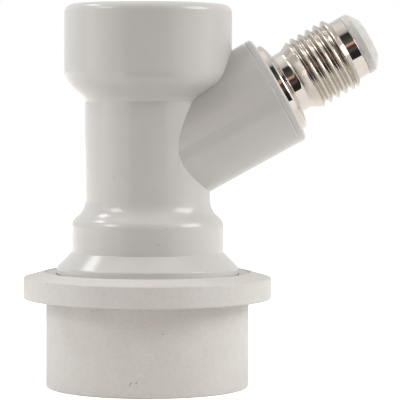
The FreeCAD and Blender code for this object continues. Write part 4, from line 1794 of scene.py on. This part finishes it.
    def surroundings(self) -> None:
        """White walls with a dark opening in front, by direction, and white to the camera."""
        world = bpy.data.worlds.new("studio")
        bpy.context.scene.world = world
        world.use_nodes = True
        tree = Tree(world.node_tree)
        split = tree.add("SeparateXYZ")
        tree.feed(split.inputs[0], tree.add("TexCoord").outputs["Generated"])
        azimuth = tree.math("ARCTAN2", split.outputs["X"], tree.math("MULTIPLY", split.outputs["Y"], -1.0))
        azimuth = tree.math("DEGREES", azimuth)
        rise = tree.math("DEGREES", tree.math("ARCSINE", split.outputs["Z"]))
        mask = self.opening_mask(tree, azimuth, rise)
        around = tree.add("Background")
        tree.feed(around.inputs["Color"], tree.mix(mask, self.walls(tree, azimuth, rise), self.opening(tree, rise)))
        around.inputs["Strength"].default_value = self.strength
        plain = tree.add("Background")
        plain.inputs["Color"].default_value = self.white
        choose = tree.add("MixShader")
        tree.feed(choose.inputs["Fac"], tree.add("LightPath").outputs["Is Camera Ray"])
        tree.feed(choose.inputs[1], around.outputs[0])
        tree.feed(choose.inputs[2], plain.outputs[0])
        tree.feed(tree.add("OutputWorld").inputs["Surface"], choose.outputs[0])

    def hang(self, lamp: Lamp) -> None:
        """Hangs one lamp so that it faces the object."""
        a, e = math.radians(lamp.azimuth), math.radians(lamp.rise)
        away = Vector((math.sin(a) * math.cos(e), -math.cos(a) * math.cos(e), math.sin(e)))
        data = bpy.data.lights.new(lamp.name, "AREA")
        data.energy = lamp.power
        data.shape = "RECTANGLE"
        data.size, data.size_y = lamp.size
        hung = bpy.data.objects.new(lamp.name, data)
        hung.location = Vector(self.lamp_target) + away * self.lamp_distance
        hung.rotation_mode = "QUATERNION"
        hung.rotation_quaternion = (-away).to_track_quat("-Z", "Y")
        bpy.context.scene.collection.objects.link(hung)

    def camera(self) -> None:
        """The camera, in front of the body's axis and turned so that the whole part is in the frame."""
        data = bpy.data.cameras.new("camera")
        data.lens = self.lens
        data.sensor_width = 36.0
        data.clip_start = 0.01
        data.clip_end = 20.0
        camera = bpy.data.objects.new("camera", data)
        turn = Matrix.Rotation(-self.yaw, 4, "Z") @ Matrix.Rotation(math.pi / 2.0 - self.pitch, 4, "X")
        stand = Matrix.Translation((0.0, -self.camera_distance, self.camera_height))
        camera.matrix_world = stand @ turn @ Matrix.Rotation(self.roll, 4, "Z")
        bpy.context.scene.collection.objects.link(camera)
        bpy.context.scene.camera = camera

    def build(self) -> None:
        """Sets the stage."""
        bpy.context.scene.view_settings.view_transform = "Standard"
        self.floor()
        self.surroundings()
        for lamp in self.lamps:
            self.hang(lamp)
        self.camera()


def main() -> None:
    """Builds every sub-assembly in order."""
    logging.basicConfig(level=logging.INFO, format="%(message)s")
    effects = Effects()
    arm = Arm()
    body_plastic = MouldedPlastic("body_grey_plastic", nicks=nicks(BODY_NICKS))
    collar_plastic = MouldedPlastic(
        "collar_matt_plastic",
        light=(0.645, 0.630, 0.608, 1.0),
        dark=(0.62, 0.602, 0.578, 1.0),
        roughness=(0.5, 0.62),
        grain_scale=3000.0,
        grain_depth=0.035 * MM,
        grain_tone=0.07,
        speck_share=0.02,
        tan_edges=(12.95 * MM, 15.95 * MM),
        nicks=nicks(SLEEVE_NICKS),
    )
    pin_plastic = MouldedPlastic("pin_white_plastic", light=(0.78, 0.77, 0.75, 1.0), dark=(0.74, 0.73, 0.70, 1.0))
    nickel = PolishedMetal("stem_nickel", centre=arm.centre, axis=arm.axis, rough_and_painted_shade_zone=(24.9 * MM, 33.1 * MM))
    ball_steel = PolishedMetal(
        "ball_polished_steel", colour=(0.66, 0.66, 0.66, 1.0), stain=(0.58, 0.58, 0.57, 1.0)
    )
    ring_steel = PolishedMetal(
        "ring_spring_steel", colour=(0.52, 0.52, 0.52, 1.0), stain=(0.4, 0.4, 0.41, 1.0), roughness=(0.2, 0.34)
    )
    spring_steel = PolishedMetal(
        "spring_drawn_wire", colour=(0.6, 0.6, 0.6, 1.0), stain=(0.48, 0.48, 0.47, 1.0), roughness=(0.16, 0.3)
    )
    rubber = Rubber("seal_black_rubber")
    milky = MilkyPlastic("washer_milky_plastic", centre=arm.centre, axis=arm.axis)
    lock = BallLock(ball_steel, ring_steel, spring_steel)
    Body(body_plastic, arm).build(effects, lock)
    lock.build(effects)
    Collar(collar_plastic).build(effects)
    Valve(pin_plastic, rubber, spring_steel).build(effects)
    Cap(body_plastic, rubber).build(effects)
    Stem(arm, nickel, rubber, milky).build(effects)
    Studio().build()


if __name__ == "__main__":
    main()
